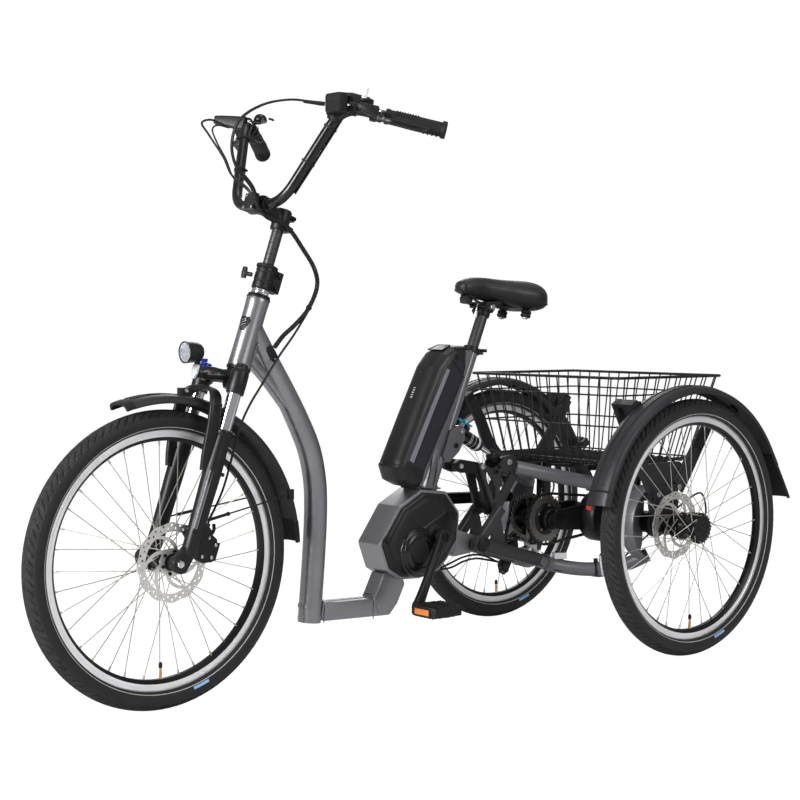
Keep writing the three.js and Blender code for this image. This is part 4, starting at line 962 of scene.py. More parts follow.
# ---- fork, stem and light ----
def make_fork():
    crown = Piece()
    for side in (-1, 1):
        leg_top = st(side * LEG_X, LEG_V, 0)
        path = smooth_path([st(side * 4, -3, -22), st(side * 26, -12, -21), st(side * 48, -30, -24),
                            st(side * LEG_X, LEG_V, -36)], 6)
        n = len(path)
        crown.add(beam(path, [19 - 5 * math.sin(math.pi * min(1, i / (n - 5))) for i in range(n)],
                       [24 - 9 * math.sin(math.pi * 0.5 * min(1, i / (n - 7))) for i in range(n)], up=STEER,
                       square=0.72, sides=28), "black")
        shoe = [(14.2, -64), (17.6, -64), (18.4, -62), (18.6, -40), (18.2, -22), (17, -14.5), (14.6, -12), (0.1, -12)]
        crown.add(turned(shoe, leg_top, STEER, 36), "black")
        crown.add(cylinder(14, -250, -60, leg_top, STEER, 36), "chrome")
        look = "deep_blue" if side < 0 else "black"
        dial = [(12.5, -12), (12.5, -8), (11.8, -7), (11.8, -3), (9.8, -1.4), (4, -1), (0.1, -1)]
        crown.add(turned(dial, leg_top, STEER, 24), look)
        if side < 0:
            crown.add(block(st(side * LEG_X - 2, LEG_V - 8, 2), (6, 24, 5), STEER, BACK), "deep_blue")
    boss = [(17, -46), (20, -46), (23, -40), (24, -28), (23.5, -10), (22.6, -4.4), (17, -4.4)]
    crown.add(turned(boss, HEAD_FOOT, STEER, 44), "black")
    crown.add(turned([(12.7, 30), (14, 30), (14, 171), (12.7, 171)], HEAD_FOOT, STEER, 32, closed=True), "steel")
    crown.add(cylinder(14, -4, 31, HEAD_FOOT, STEER, 32), "steel")
    stack = [(14.2, 156.4), (23.4, 156.4), (23.8, 157), (23.2, 159.6), (19.4, 160.6), (14.2, 160.6)]
    crown.add(turned(stack, HEAD_FOOT, STEER, 44, closed=True), "black")
    spacer = [(14.2, 160.6), (18.4, 160.6), (18.8, 161.2), (18.8, 164.6), (18.2, 165), (18.2, 165.6), (18.8, 166),
              (18.8, 170.4), (18.2, 171), (14.2, 171)]
    crown.add(turned(spacer, HEAD_FOOT, STEER, 48, closed=True), "chrome")
    for k, (x, v, w) in enumerate(((-34, -40, -26), (-26, -46, -34), (-38, -48, -38))):
        crown.add(bolt(st(x, v, w), -BACK, 4.4, 7), "dark_alloy" if k % 2 else "brass")
    crown.build("fork_crown_arms", "steerer", "black_metal", ["fork_crown"], sharp=36)

    lowers = Piece()
    for side in (-1, 1):
        x = side * LEG_X
        leg = [(15, -140), (18.4, -140.6), (19.4, -143), (19.4, -149), (17.6, -152), (17.2, -156), (18.4, -190),
               (19, -216), (18.8, -250), (17.4, -300), (16.8, -360), (17, -384), (15.5, -396), (10, -402),
               (0.1, -403)]
        lowers.add(turned(leg, st(x, LEG_V, 0), STEER, 36), "black")
        foot = [(-46, -372), (-24, -372), (-24, -392), (-34, -432), (-46, -438), (-62, -436), (-70, -424),
                (-68, -410), (-58, -394)]
        rows = [[st(x + gap, v, w) for v, w in rounded(shrink(foot, inset), 6)]
                for gap, inset in ((-7.5, 1.5), (-6, 0), (6, 0), (7.5, 1.5))]
        lowers.add(capped(rows), "black")
        hub = st(x, -54.3, -419.1)
        lowers.add(turned([(16, -9), (16, 6), (15, 8), (10.5, 8.6), (10, 8), (0.1, 8)], hub, X * side, 30), "black")
        nut = [(8.6, 7.5), (8.6, 11), (7.6, 12.6), (5.4, 13), (4.9, 10.5), (0.1, 10.5)]
        lowers.add(turned(nut, hub, X * side, 6), "chrome")
        lowers.add(cylinder(4.6, -8, 14, hub, X * side, 16), "steel")
    bow = [st(LEG_X - 2, LEG_V - 12, -226), st(LEG_X, LEG_V - 20, -196), st(LEG_X + 1, LEG_V - 27, -150),
           st(LEG_X - 1, LEG_V - 33, -108), st(LEG_X - 10, LEG_V - 35, -80), st(LEG_X - 26, LEG_V - 33, -68),
           st(22, LEG_V - 32, -64), st(0, LEG_V - 32, -63)]
    left = smooth_path(bow, 6)
    whole = left + [Vector((-p.x, p.y, p.z)) for p in reversed(left[:-1])]
    n = len(whole)
    wide = [16 - 3.5 * math.sin(math.pi * i / (n - 1)) for i in range(n)]
    thick = [5.5 + 1.5 * math.cos(TAU * i / (n - 1)) for i in range(n)]
    lowers.add(beam(whole, thick, wide, up=X, square=0.6, sides=24), "black")
    for k in range(2):
        stripe = [st(LEG_X + 18.2 * math.cos(0.5 + 0.26 * k), LEG_V - 18.2 * math.sin(0.5 + 0.26 * k) - 0.2, w)
                  for w in np.linspace(-345, -225, 12)]
        lowers.add(beam(stripe, 0.6, 2.4 if k else 1.2, up=X + BACK * -0.8, square=0.8, sides=8), "arm_light")
    for w in (-226, -330):
        lowers.add(turned([(3.2, 0), (4, 4), (4, 9), (2, 10)], st(LEG_X + 6, LEG_V + 15, w), BACK, 12), "black")
    lowers.add(bolt(st(LEG_X + 14, LEG_V - 34, -98), X, 4, 2.6), "dark_alloy")
    lowers.build("fork_legs", "fork_slider", "black_metal", ["fork_lowers"], sharp=36)

    caliper = Piece()
    body = [(-14, -400), (8, -404), (30, -396), (34, -372), (26, -350), (6, -342), (-12, -352), (-18, -374)]

    def plate(outline, x0, x1, look, inset=1.5):
        rows = [[st(x, v, w) for v, w in rounded(shrink(outline, by), 5)]
                for x, by in ((x0, inset), (x0 + inset, 0), (x1 - inset, 0), (x1, inset))]
        caliper.add(capped(rows), look)

    plate(body, 45.5, 58, "black")
    plate([(-4, -398), (10, -402), (26, -392), (28, -372), (22, -356), (8, -350), (-4, -360)], 32, 40.5, "black")
    plate([(20, -396), (34, -392), (36, -360), (24, -352), (16, -362)], 36, 56, "plastic")
    plate([(-24, -360), (2, -356), (6, -338), (-10, -326), (-24, -332)], 54, 62, "black")
    for v, w in ((0, -392), (22, -388), (4, -352), (24, -362)):
        caliper.add(bolt(st(58, v, w), X, 3.6, 3), "steel")
    for k in range(5):
        fin = st(48, 35, -388 + 7 * k)
        caliper.add(block(fin, (16, 2, 9), X, STEER), "dark_alloy")
    caliper.add(tube(smooth_path([st(50, 12, -346), st(50, 16, -334), st(47, 14, -322)], 5), 3.6, 10), "rubber")
    caliper.build("front_caliper_body", "fork_slider", "black_metal", ["front_caliper"], bevel=0.8)


def make_headlight():
    piece = Piece()
    front, rear = st(0, -134, -10), st(0, -88, 6)
    axis = (front - rear).normalized()
    shell = [(0.1, 10), (9, 10), (14.5, 11.6), (18.4, 16), (20.4, 24), (21.4, 38), (22, 46), (22.4, 49.4),
             (21.6, 50.2), (20.4, 49.4), (19.4, 44)]
    piece.add(turned(shell, rear, axis, 44), "plastic_fine")
    bowl = [(19.4, 46.4), (16, 45), (12, 41), (8, 37.6), (5.2, 36.8), (0.1, 36.6)]
    piece.add(turned(bowl, rear, axis, 40), "mirror_bowl")
    piece.add(turned([(5.4, 36.8), (5.4, 43.6), (4.2, 45), (0.1, 45.2)], rear, axis, 24), "black")
    for k in range(20):
        a = TAU * k / 20
        side = axis.orthogonal().normalized()
        other = axis.cross(side)
        out = side * math.cos(a) + other * math.sin(a)
        piece.add(bar(rear + axis * 0.0385 + out * 0.0085, rear + axis * 0.0462 + out * 0.0172, 0.55, 5),
                  "mirror_bowl")
    arm = smooth_path([st(0, -24, -27), st(0, -46, -34), st(0, -70, -40), st(0, -88, -42), st(0, -96, -46)], 6)
    piece.add(beam(arm, 5.6, 9, up=STEER, square=0.55, sides=20), "plastic")
    neck = smooth_path([st(0, -90, -46), st(0, -95, -34), st(0, -99, -20), st(0, -102, -10)], 5)
    piece.add(beam(neck, 4, 8, up=BACK, square=0.6, sides=20), "plastic_fine")
    for k in range(4):
        piece.add(beam([st(-9, -76 - 6 * k, -36 - 2 * k), st(9, -76 - 6 * k, -36 - 2 * k)], 3.4, 1.6, up=STEER,
                       square=0.6), "dark_alloy")
    piece.add(bolt(st(8.6, -84, -42), X, 5, 3.4), "black")
    piece.build("headlight_shell", "steerer", "black_plastic", ["headlight"], sharp=34)
    shine = Piece()
    face = [(-9.5, -24), (9.5, -24), (10.5, -42), (5, -54), (-5, -54), (-10.5, -42)]
    rows = [[st(x, v, w) for x, w in rounded(shrink(face, by), 2.5)]
            for v, by in ((-97, 0), (-101, 0), (-102.4, 1.4))]
    shine.add(capped(rows), "reflector")
    shine.build("front_reflector", "steerer", "lens", sharp=30)
    glass = Piece()
    front_face = rear + axis * 0.0488
    glass.add(turned([(0.1, -1.4), (19, -1.6), (19.6, 0), (16, 1.2), (9, 2.0), (0.1, 2.3)], front_face, axis, 40),
              "glass")
    glass.build("headlight_glass", "steerer", "lens", ["headlight_lens"])


def make_stem():
    clamp = Piece()
    barrel = [(12.7, 171.5), (20, 171.5), (21.2, 173), (21.2, 186), (20, 187.4), (20, 189), (21.2, 190.4),
              (21.2, 206), (20, 207.4), (20, 209), (21.2, 210.4), (21.2, 221), (19.6, 224), (12.7, 224)]
    clamp.add(turned(barrel, HEAD_FOOT, STEER, 44, closed=True), "black")
    for x in (-7.5, 7.5):
        clamp.add(block(st(x, 25, 197), (9, 24, 46), X, STEER), "black")
    for w in (184, 212):
        clamp.add(turned([(5.6, -13.5), (5.6, -11), (3, -11), (3, 11), (5.6, 11), (5.6, 14.5), (2.8, 14.5),
                          (2.8, 12), (0.1, 12)], st(0, 27, w), X, 16), "steel")
        clamp.add(turned([(6.6, 12), (6.6, 17), (5, 19)], st(0, 27, w), X, 16), "black")
    clamp.add(turned([(22.6, 218), (23, 219), (23, 223), (22, 224.6), (12.8, 224.6), (12.8, 218)], HEAD_FOOT, STEER,
                     44, closed=True), "plastic")
    clamp.build("stem_clamp_collar", "steerer", "black_metal", ["stem_clamp"], bevel=1.0)

    lever = Piece()
    path = smooth_path([st(-16.5, -21, 198), st(-22, -25, 198), st(-28, -30, 198)], 6)
    lever.add(beam(path, 4.6, 4.6, up=STEER, square=0.8), "black")
    lever.add(beam([st(-29, -31, 188), st(-29.6, -31.6, 199), st(-30.6, -32.4, 211)], [5.4, 6.2, 5], [4.6, 5.2, 4.2],
                   up=X, square=0.6), "plate_dark")
    lever.build("stem_lever_handle", "stem_lever", "black_metal", ["stem_clamp_lever"], sharp=38)

    stem = Piece()
    stem.add(turned([(11.6, 110), (12, 111), (12, 330)], HEAD_FOOT, STEER, 40), "arm")
    for k in range(6):
        stem.add(turned([(12.05, 0), (12.2, 0.2), (12.2, 0.9), (12.05, 1.1)], st(0, 0, 236 + 12 * k), STEER, 40,
                        closed=True), "black")
    socket = [(12.1, 303), (17.4, 303), (18.6, 305), (18.8, 330), (18.2, 346), (16, 349), (0.1, 349.6)]
    stem.add(turned(socket, st(0, 1, 0), STEER, 40), "black")
    neck = smooth_path([st(0, 6, 322), st(0, -14, 330), st(0, -38, 334), st(0, -62, 334.4)], 6)
    stem.add(beam(neck, [17, 17, 16.5, 16, 15.5, 15, 15, 15, 15, 15, 15, 15, 15, 15.5, 16, 16.5, 17, 17, 17],
                  [17, 17, 16.5, 16, 15.5, 15, 14.5, 14, 14, 14, 14, 14.5, 15, 16, 17, 18, 19, 20, 21], up=STEER,
                  square=0.7, sides=28), "black")
    grip = [(12, -22), (18.4, -22), (19.2, -20.5), (19.2, 20.5), (18.4, 22), (12, 22)]
    stem.add(turned(grip, st(0, -64.4, 334.4), X, 40, closed=True), "black")
    face = st(0, -84, 334.4)
    stem.add(block(face, (38, 8, 34), X, STEER), "black")
    for x in (-14, 14):
        for w in (321, 348):
            stem.add(bolt(st(x, -87, w), -BACK, 3.6, 3.4), "steel")
    for w in (313, 337):
        stem.add(block(st(0, 22, w), (20, 10, 12), X, STEER), "black")
        stem.add(bolt(st(10, 23, w), X, 4.6, 5), "dark_alloy")
    stem.add(turned([(9, 349), (9, 350.6), (6, 351.4), (0.1, 351.4)], st(0, 1, 0), STEER, 24), "dark_alloy")
    stem.build("stem_neck", "handlebars", "black_metal", ["stem_riser"], bevel=0.9)


# ---- handlebars ----
BEND = at(*BAR_BEND)
ALONG = (at(*BAR_END) - BEND).normalized()
AHEAD = Z.cross(ALONG).normalized() * -1
RISE = ALONG.cross(AHEAD).normalized() * -1


def bar_at(side, along, ahead, up):
    """A point beside the grip end of the bar: along it outward from the bend, ahead of it and above it, in mm."""
    p = BEND + (ALONG * along + AHEAD * ahead + RISE * up) / 1000
    return Vector((side * p.x, p.y, p.z))


def bar_way(side, v):
    return Vector((side * v.x, v.y, v.z))


def make_handlebar():
    bar_piece = Piece()
    corners = [at(*BAR_END), at(*BAR_BEND), at(*BAR_LOW)]
    corners += [Vector((-p.x, p.y, p.z)) for p in reversed(corners)]
    path = bent_path(corners, 0.046, 10)
    bar_piece.add(tube(path, 11, 28), "gloss_black")
    for side in (-1, 1):
        for t, spread in ((0.42, 14.2), (0.78, 14.0)):
            on = at(side * BAR_LOW[0], *BAR_LOW[1:]).lerp(at(side * BAR_BEND[0], *BAR_BEND[1:]), t)
            way = (at(side * BAR_BEND[0], *BAR_BEND[1:]) - at(side * BAR_LOW[0], *BAR_LOW[1:])).normalized()
            bar_piece.add(turned([(11.2, -2.4), (spread - 1.4, -2.4), (spread - 1.2, 2.4), (11.2, 2.4)], on, way, 24,
                                 closed=True), "plastic")
            bar_piece.add(block(on + way.orthogonal().normalized() * 0.0135, (5, 5, 4), X, way), "plastic")
        side_way = (at(side * BAR_LOW[0], *BAR_LOW[1:]) - at(0, -1002.8, 1015)).normalized()
        bar_piece.add(washer(11.2, 13.4, 4, at(side * 34, -1002.8, 1015), side_way, 24), "plastic")
    for side, offset in ((1, 12.9), (-1, 12.9)):
        run = []
        for i in range(20):
            t = i / 19
            p = at(side * BAR_LOW[0], *BAR_LOW[1:]).lerp(at(side * BAR_BEND[0], *BAR_BEND[1:]), 0.12 + 0.8 * t)
            run.append(p + Vector((side * 0.6, 1, -0.5)).normalized()
                       * ((offset + 0.6 * math.sin(math.pi * t)) / 1000))
        bar_piece.add(tube(run, 2.3, 8), "hose")
    bar_piece.build("handlebar_tube", "handlebars", "black_metal", ["handlebar"])

    for side, word in ((1, "left"), (-1, "right")):
        grip = Piece()
        path, a_half, b_half = [], [], []
        for i in range(31):
            t = i / 30
            along = 92 + 118 * t
            swell = 0.8 * math.sin(math.pi * t)
            palm = 5.0 * max(0.0, math.sin(math.pi * min(1, max(0, (t - 0.25) / 0.78))))
            path.append(bar_at(side, along, -palm * 0.28, -palm * 0.1))
            a_half.append(14.6 + swell)
            b_half.append(14.8 + swell + palm * 0.34)
        grip.add(beam(path, a_half, b_half, up=bar_way(side, RISE), square=0.88, sides=36), "rubber")
        for k in range(9):
            along = 108 + 5.4 * k
            ring = []
            for i in range(13):
                a = math.pi * (0.08 + 0.84 * i / 12)
                ring.append(bar_at(side, along + 2.4 * math.sin(a), -16.2 * math.cos(a), 15.9 * math.sin(a)))
            grip.add(tube(ring, 1.1, 6), "rubber")
        for k in range(4):
            along = 166 + 9 * k
            ring = []
            for i in range(13):
                a = -math.pi * (0.1 + 0.8 * i / 12)
                ring.append(bar_at(side, along - 4 * math.sin(a), 16.4 * math.cos(a) - 1.4, 16.2 * math.sin(a)))
            grip.add(tube(ring, 1.5, 6), "rubber")
        cap = [(11.2, -5), (17.2, -5), (18, -4), (18, 3.4), (16.8, 4.6), (10, 4.9), (9, 4.0), (0.1, 4.0)]
        grip.add(turned(cap, bar_at(side, 209.4, 0, 0), bar_way(side, ALONG), 32), "plastic")
        inner = [(11.2, -4), (15.6, -4), (16.2, -3), (16.2, 3), (15.4, 4), (11.2, 4)]
        grip.add(turned(inner, bar_at(side, 92, 0, 0), bar_way(side, ALONG), 32, closed=True), "plastic")
        grip.build(f"{word}_grip_cover", "handlebars", "grip_rubber", [f"{word}_grip"], sharp=44)


def make_levers():
    for side, word in ((1, "left"), (-1, "right")):
        perch = Piece()
        way, ahead, rise = (bar_way(side, v) for v in (ALONG, AHEAD, RISE))
        band = [(11.2, -7), (15.6, -7), (17, -5), (17, 5), (15.6, 7), (11.2, 7)]
        perch.add(turned(band, bar_at(side, 65, 0, 0), way, 32, closed=True), "black")
        tank = [bar_at(side, a, 25, u) for a, u in ((34, 7), (46, 4), (64, 2), (80, -5), (88, -8))]
        perch.add(beam(tank, [7, 9.5, 10.5, 9.5, 7], [8, 10.5, 11.5, 10, 8], up=rise, square=0.6, sides=24), "black")
        perch.add(beam([bar_at(side, 62, 10, 0), bar_at(side, 60, 20, 1)], [9, 10], [9, 12], up=rise, square=0.6),
                  "black")
        lid = [bar_at(side, a, 25, u) for a, u in ((42, 13.6), (62, 12.4), (76, 8))]
        perch.add(beam(lid, 1.4, [7, 9, 7], up=rise, square=0.6), "dark_alloy")
        perch.add(turned([(4.2, 0), (4.2, 10), (5, 11), (5, 15), (3.4, 16), (3.4, 22)], bar_at(side, 36, 25, 6), -way,
                         14), "black")
        perch.add(bolt(bar_at(side, 80, 30, 2), rise, 4.6, 4), "steel")
        perch.add(bolt(bar_at(side, 60, -14, 6), rise, 3.6, 4), "steel")
        perch.build(f"{word}_brake_body", "handlebars", "black_metal", [f"{word}_brake_perch"], bevel=0.7)

        lever = Piece()
        blade = smooth_path([bar_at(side, 76, 28, -10), bar_at(side, 90, 36, -11), bar_at(side, 108, 44, -12),
                             bar_at(side, 130, 43, -12.4), bar_at(side, 152, 41, -13), bar_at(side, 172, 41.4, -13.6),
                             bar_at(side, 180, 43, -14)], 6)
        n = len(blade)
        tall = [6.4 - 1.4 * math.sin(math.pi * i / (n - 1)) for i in range(n)]
        thick = [5.6 - 1.8 * i / (n - 1) for i in range(n)]
        lever.add(beam(blade, tall, thick, up=rise, square=0.66, sides=20), "dark_alloy")
        lever.add(turned([(5.6, -8), (6.4, -7), (6.4, 7), (5.6, 8)], bar_at(side, 80, 30, -10), rise, 18), "black")
        lever.add(bolt(bar_at(side, 80, 30, -3), rise, 3.4, 2.4), "steel")
        lever.add(cylinder(2.4, 0, 15, bar_at(side, 90, 30, -9), ahead, 12), "chrome")
        lever.add(ball(bar_at(side, 180, 43, -14), 6.2, 8, 16), "dark_alloy")
        lever.build(f"{word}_brake_blade", f"brake_{word}", "black_metal", [f"{word}_brake_lever"], sharp=40)


def make_controls():
    screen = Piece()
    low, high = (1000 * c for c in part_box("display"))
    y0, y1 = low.y - 1000 * REAR_AXLE.y, high.y - 1000 * REAR_AXLE.y
    centre = at((low.x + high.x) / 2, (y0 + y1) / 2, (low.z + high.z) / 2)
    wide, deep, tall = high.x - low.x, y1 - y0, high.z - low.z
    shell = [(-wide / 2, -tall / 2), (wide / 2, -tall / 2), (wide / 2, tall / 2), (-wide / 2, tall / 2)]
    levels = [(-deep / 2, 3), (-deep / 2 + 2, 0.6), (deep / 2 - 3, 0), (deep / 2 - 0.8, 0.8), (deep / 2, 3)]
    rows = [[centre + Vector((u, y, v)) / 1000 for u, v in rounded(shrink(shell, by), 6)] for y, by in levels]
    screen.add(capped(rows), "plastic")
    glass = [centre + Vector((u, deep / 2 + 0.2, v)) / 1000 for u, v in rounded(shrink(shell, 7), 3)]
    screen.add(slab(glass, 0.8, Y), "screen")
    for k in range(3):
        screen.add(block(centre + Vector((-18 + 18 * k, deep / 2 + 0.7, -tall / 2 + 5.4)) / 1000, (9, 1.4, 4)),
                   "plastic_fine")
    screen.build("display_unit", "handlebars", "black_plastic", ["display"], bevel=0.8)

    mount = Piece()
    hinge = (at(*BAR_BEND) - at(*BAR_LOW)).normalized()
    mount.add(washer(11.2, 14.6, 5, at(*BAR_BEND).lerp(at(*BAR_LOW), 0.14), hinge, 28), "plastic")
    mount.add(block(at(166, -930, 1196), (40, 18, 10), X, Vector((0, 0.1, 1))), "plastic")
    mount.add(block(at(156, -924, 1190), (22, 24, 12), X, Vector((0, 0.1, 1))), "plastic")
    way, ahead, rise = ALONG, AHEAD, RISE
    mount.add(washer(11.2, 15, 6, bar_at(1, 24, 0, 0), way, 28), "plastic")
    pod = [bar_at(1, a, -1, 18) for a in (2, 14, 40, 58)]
    mount.add(beam(pod, [10, 12, 11, 8], [12, 15, 14, 10], up=rise, square=0.4), "plastic_fine")
    for k in range(3):
        mount.add(beam([bar_at(1, 20 + 11 * k, -2, 28), bar_at(1, 27 + 11 * k, -2, 28)], 1.8, 4.2, up=rise,
                       square=0.6),
                  "red" if k == 1 else "charcoal")
    mount.build("control_pod", "handlebars", "black_plastic", bevel=0.7)

    parking = Piece()
    parking.add(turned([(7, 0), (7, 5), (5.4, 6), (2.8, 6), (2.6, 4.4), (0.1, 4.4)], bar_at(1, 40, 22, 16.5), rise,
                       22), "plastic")
    stick = smooth_path([bar_at(1, 40, 22, 20), bar_at(1, 41, 22, 30), bar_at(1, 43, 22, 44)], 5)
    n = len(stick)
    parking.add(beam(stick, [2.2] * n, [5.5 - 2.2 * i / (n - 1) for i in range(n)], up=ahead, square=0.7), "alloy")
    parking.add(turned([(1.9, -0.4), (1.9, 0.8), (1.2, 1.4)], bar_at(1, 40.6, 19.8, 26), -ahead, 12), "red")
    parking.build("parking_stick", "parking_lock", "black_metal", ["parking_lever"], sharp=40)

    paddle = Piece()
    paddle.add(beam([bar_at(-1, 40, 2, -14), bar_at(-1, 46, -6, -20), bar_at(-1, 50, -16, -22)], [5.5, 6, 5.5],
                    [4.5, 6, 5.5], up=bar_way(-1, RISE), square=0.6), "plastic")
    paddle.add(beam([bar_at(-1, 46, -14, -24), bar_at(-1, 47, -24, -26), bar_at(-1, 48, -30, -24)], [4.6, 5.6, 3],
                    [6, 7, 5], up=bar_way(-1, RISE), square=0.6), "plastic_fine")
    paddle.build("shift_paddle", "shifter", "black_plastic", ["shift_lever"], sharp=40)

    shifter = Piece()
    shifter.add(washer(11.2, 15.4, 6, bar_at(-1, 42, 0, 0), bar_way(-1, ALONG), 28), "plastic")
    lid = [bar_at(-1, 16, 6, 0), bar_at(-1, 20, 28, 5), bar_at(-1, 24, 52, 10), bar_at(-1, 28, 74, 14)]
    shifter.add(beam(smooth_path(lid, 5), [16 - 7 * i / 15 for i in range(16)], 9, up=bar_way(-1, RISE), square=0.4),
                "plastic_fine")
    shifter.add(beam([bar_at(-1, 30, 14, -6), bar_at(-1, 42, 20, -8), bar_at(-1, 56, 22, -8)], [8, 10, 7], [8, 10, 8],
                     up=bar_way(-1, RISE), square=0.6), "plastic")
    shifter.build("shifter_body", "handlebars", "black_plastic", sharp=40)

    bell = Piece()
    base = bar_at(-1, 16, -28, 12)
    up = bar_way(-1, RISE)
    dome = [(0.1, -7), (10, -7), (14.6, -6.6), (15, -5.2), (14.8, -2), (13.4, 3), (10.4, 7), (6, 9.6), (2.6, 10.4),
            (2.4, 11.4), (0.1, 11.6)]
    bell.add(turned(dome, base, up, 40), "gloss_black")
    bell.add(washer(11.2, 13.8, 5, bar_at(-1, 16, 0, 0), bar_way(-1, ALONG), 28), "plastic")
    bell.add(block(bar_at(-1, 16, -20, 3), (9, 18, 6), bar_way(-1, ALONG), up), "plastic")
    bell.build("bell_dome", "handlebars", "steel", ["bell"], bevel=0.6)
    trigger = Piece()
    trigger.add(beam(smooth_path([bar_at(-1, 16, -46, 12), bar_at(-1, 17, -52, 11), bar_at(-1, 28, -54, 13)], 5), 2.2,
                     3.0, up=up, square=0.8), "black")
    trigger.build("bell_thumb", "bell_trigger", "black_plastic", ["bell_striker"], sharp=40)


LOOM = [(30, -1030, 1034), (32, -1026, 1010), (31, -1004, 990), (28, -953, 974), (25, -906, 927), (23, -872, 882),
        (22, -866, 850), (21, -890, 800), (21, -925, 767), (22, -955, 745), (24, -978, 722)]
LEFT_HOSE = [(140, -950, 1214), (104, -996, 1221), (72, -1046, 1208), (46, -1082, 1176), (36, -1092, 1126),
             (32, -1076, 1082), (30, -1038, 1046), (32, -1027, 1012)]
RIGHT_HOSE = [(-176, -962, 1196), (-176, -1000, 1206), (-164, -1032, 1196), (-132, -1036, 1168), (-92, -1026, 1118),
              (-40, -1040, 1076), (16, -1038, 1044), (31, -1028, 1012)]
FORK_HOSE = [(22, -893, 792), (27, -930, 748), (34, -975, 702), (42, -1024, 645), (48, -1058, 605), (52, -1083, 565),
             (54, -1098, 525), (54, -1128, 437), (50, -1152, 388), (46, -1160, 368)]


def braid(path, r, turns, strands=10):
    """A woven sleeve: strands wound both ways round a path."""
    n = len(path)
    cross = frames(path)
    shapes = []
    for way in (1, -1):
        for s in range(strands // 2):
            line = []
            steps = n * 2
            for i in range(steps):
                t = i / (steps - 1) * (n - 1)
                k = min(n - 2, int(t))
                p = path[k].lerp(path[k + 1], t - k)
                a, b = cross[k]
                turn = way * TAU * turns * i / steps + TAU * s / (strands // 2)
                wave = r + 0.22 * math.sin(turn * 3 + way)
                line.append(p + (a * math.cos(turn) + b * math.sin(turn)) * (wave / 1000))
            shapes.append(tube(line, 0.62, 4, caps=False))
    return shapes


def make_cables():
    upper = Piece()
    for end in (LEFT_HOSE, RIGHT_HOSE):
        upper.add(tube(smooth_path(places(end), 10), 2.4, 12), "hose")
    twin = [at(x - 5.4, y + 1, z + 1) for x, y, z in LEFT_HOSE]
    upper.add(tube(smooth_path(twin, 10), 1.9, 10), "hose")
    second = [(-170, -958, 1192), (-164, -992, 1194), (-148, -1016, 1182), (-118, -1024, 1150), (-86, -1024, 1114),
              (-40, -1036, 1071), (14, -1036, 1040), (30, -1026, 1010)]
    upper.add(tube(smooth_path(places(second), 10), 1.9, 10), "hose")
    way = (at(*LEFT_HOSE[0]) - at(*LEFT_HOSE[1])).normalized()
    upper.add(turned([(2.4, -34), (3.6, -33), (4.2, -6), (4.6, 0), (4.2, 10)], at(*LEFT_HOSE[0]), way, 16), "rubber")
    from_bar = at(0, -1030, 1184)
    upper.build("handlebar_hoses", None, "cable_black",
                between=("handlebars", "steerer", from_bar, from_bar - STEER * 0.105))

    middle = Piece()
    loom = smooth_path([at(*p) for p in (*LEFT_HOSE[5:7], *LOOM[1:])], 10)
    middle.add(tube(loom, 4.3, 14), "hose")
    for shape in braid(loom, 4.5, 26):
        middle.add(shape, "wire")
    for k in (1, 5):
        p = loom[len(loom) * k // 7]
        q = loom[len(loom) * k // 7 + 1]
        middle.add(turned([(4.8, -3), (6.2, -2.6), (6.2, 2.6), (4.8, 3)], p, (q - p).normalized(), 18, closed=True),
                   "rubber")
    middle.build("cable_sleeve", None, "cable_black", ["cable_loom"],
                 between=("steerer", "frame", loom[30], loom[-20]))

    branch = Piece()
    branch.add(tube(smooth_path(places(FORK_HOSE[:4]), 10), 2.4, 12), "hose")
    branch.build("fork_hose_branch", None, "cable_black",
                 between=("frame", "steerer", at(*FORK_HOSE[0]), at(*FORK_HOSE[3])))

    low = Piece()
    low.add(tube(smooth_path(places(FORK_HOSE[3:]), 10), 2.4, 12), "hose")
    clip = at(54, -1112, 481)
    low.add(washer(2.5, 4.6, 5, clip, (at(54, -1098, 525) - clip).normalized(), 14), "plastic")
    low.build("front_brake_hose", None, "cable_black",
              between=("steerer", "fork_slider", at(*FORK_HOSE[4]), at(*FORK_HOSE[6])))


# ---- cranks, pedals, chains and jackshaft ----
def crank_tip(x, side):
    s, c = math.sin(CRANK_LEAN), math.cos(CRANK_LEAN)
    return at(x, CRANK_Y - side * CRANK_LENGTH * s, CRANK_Z - side * CRANK_LENGTH * c)


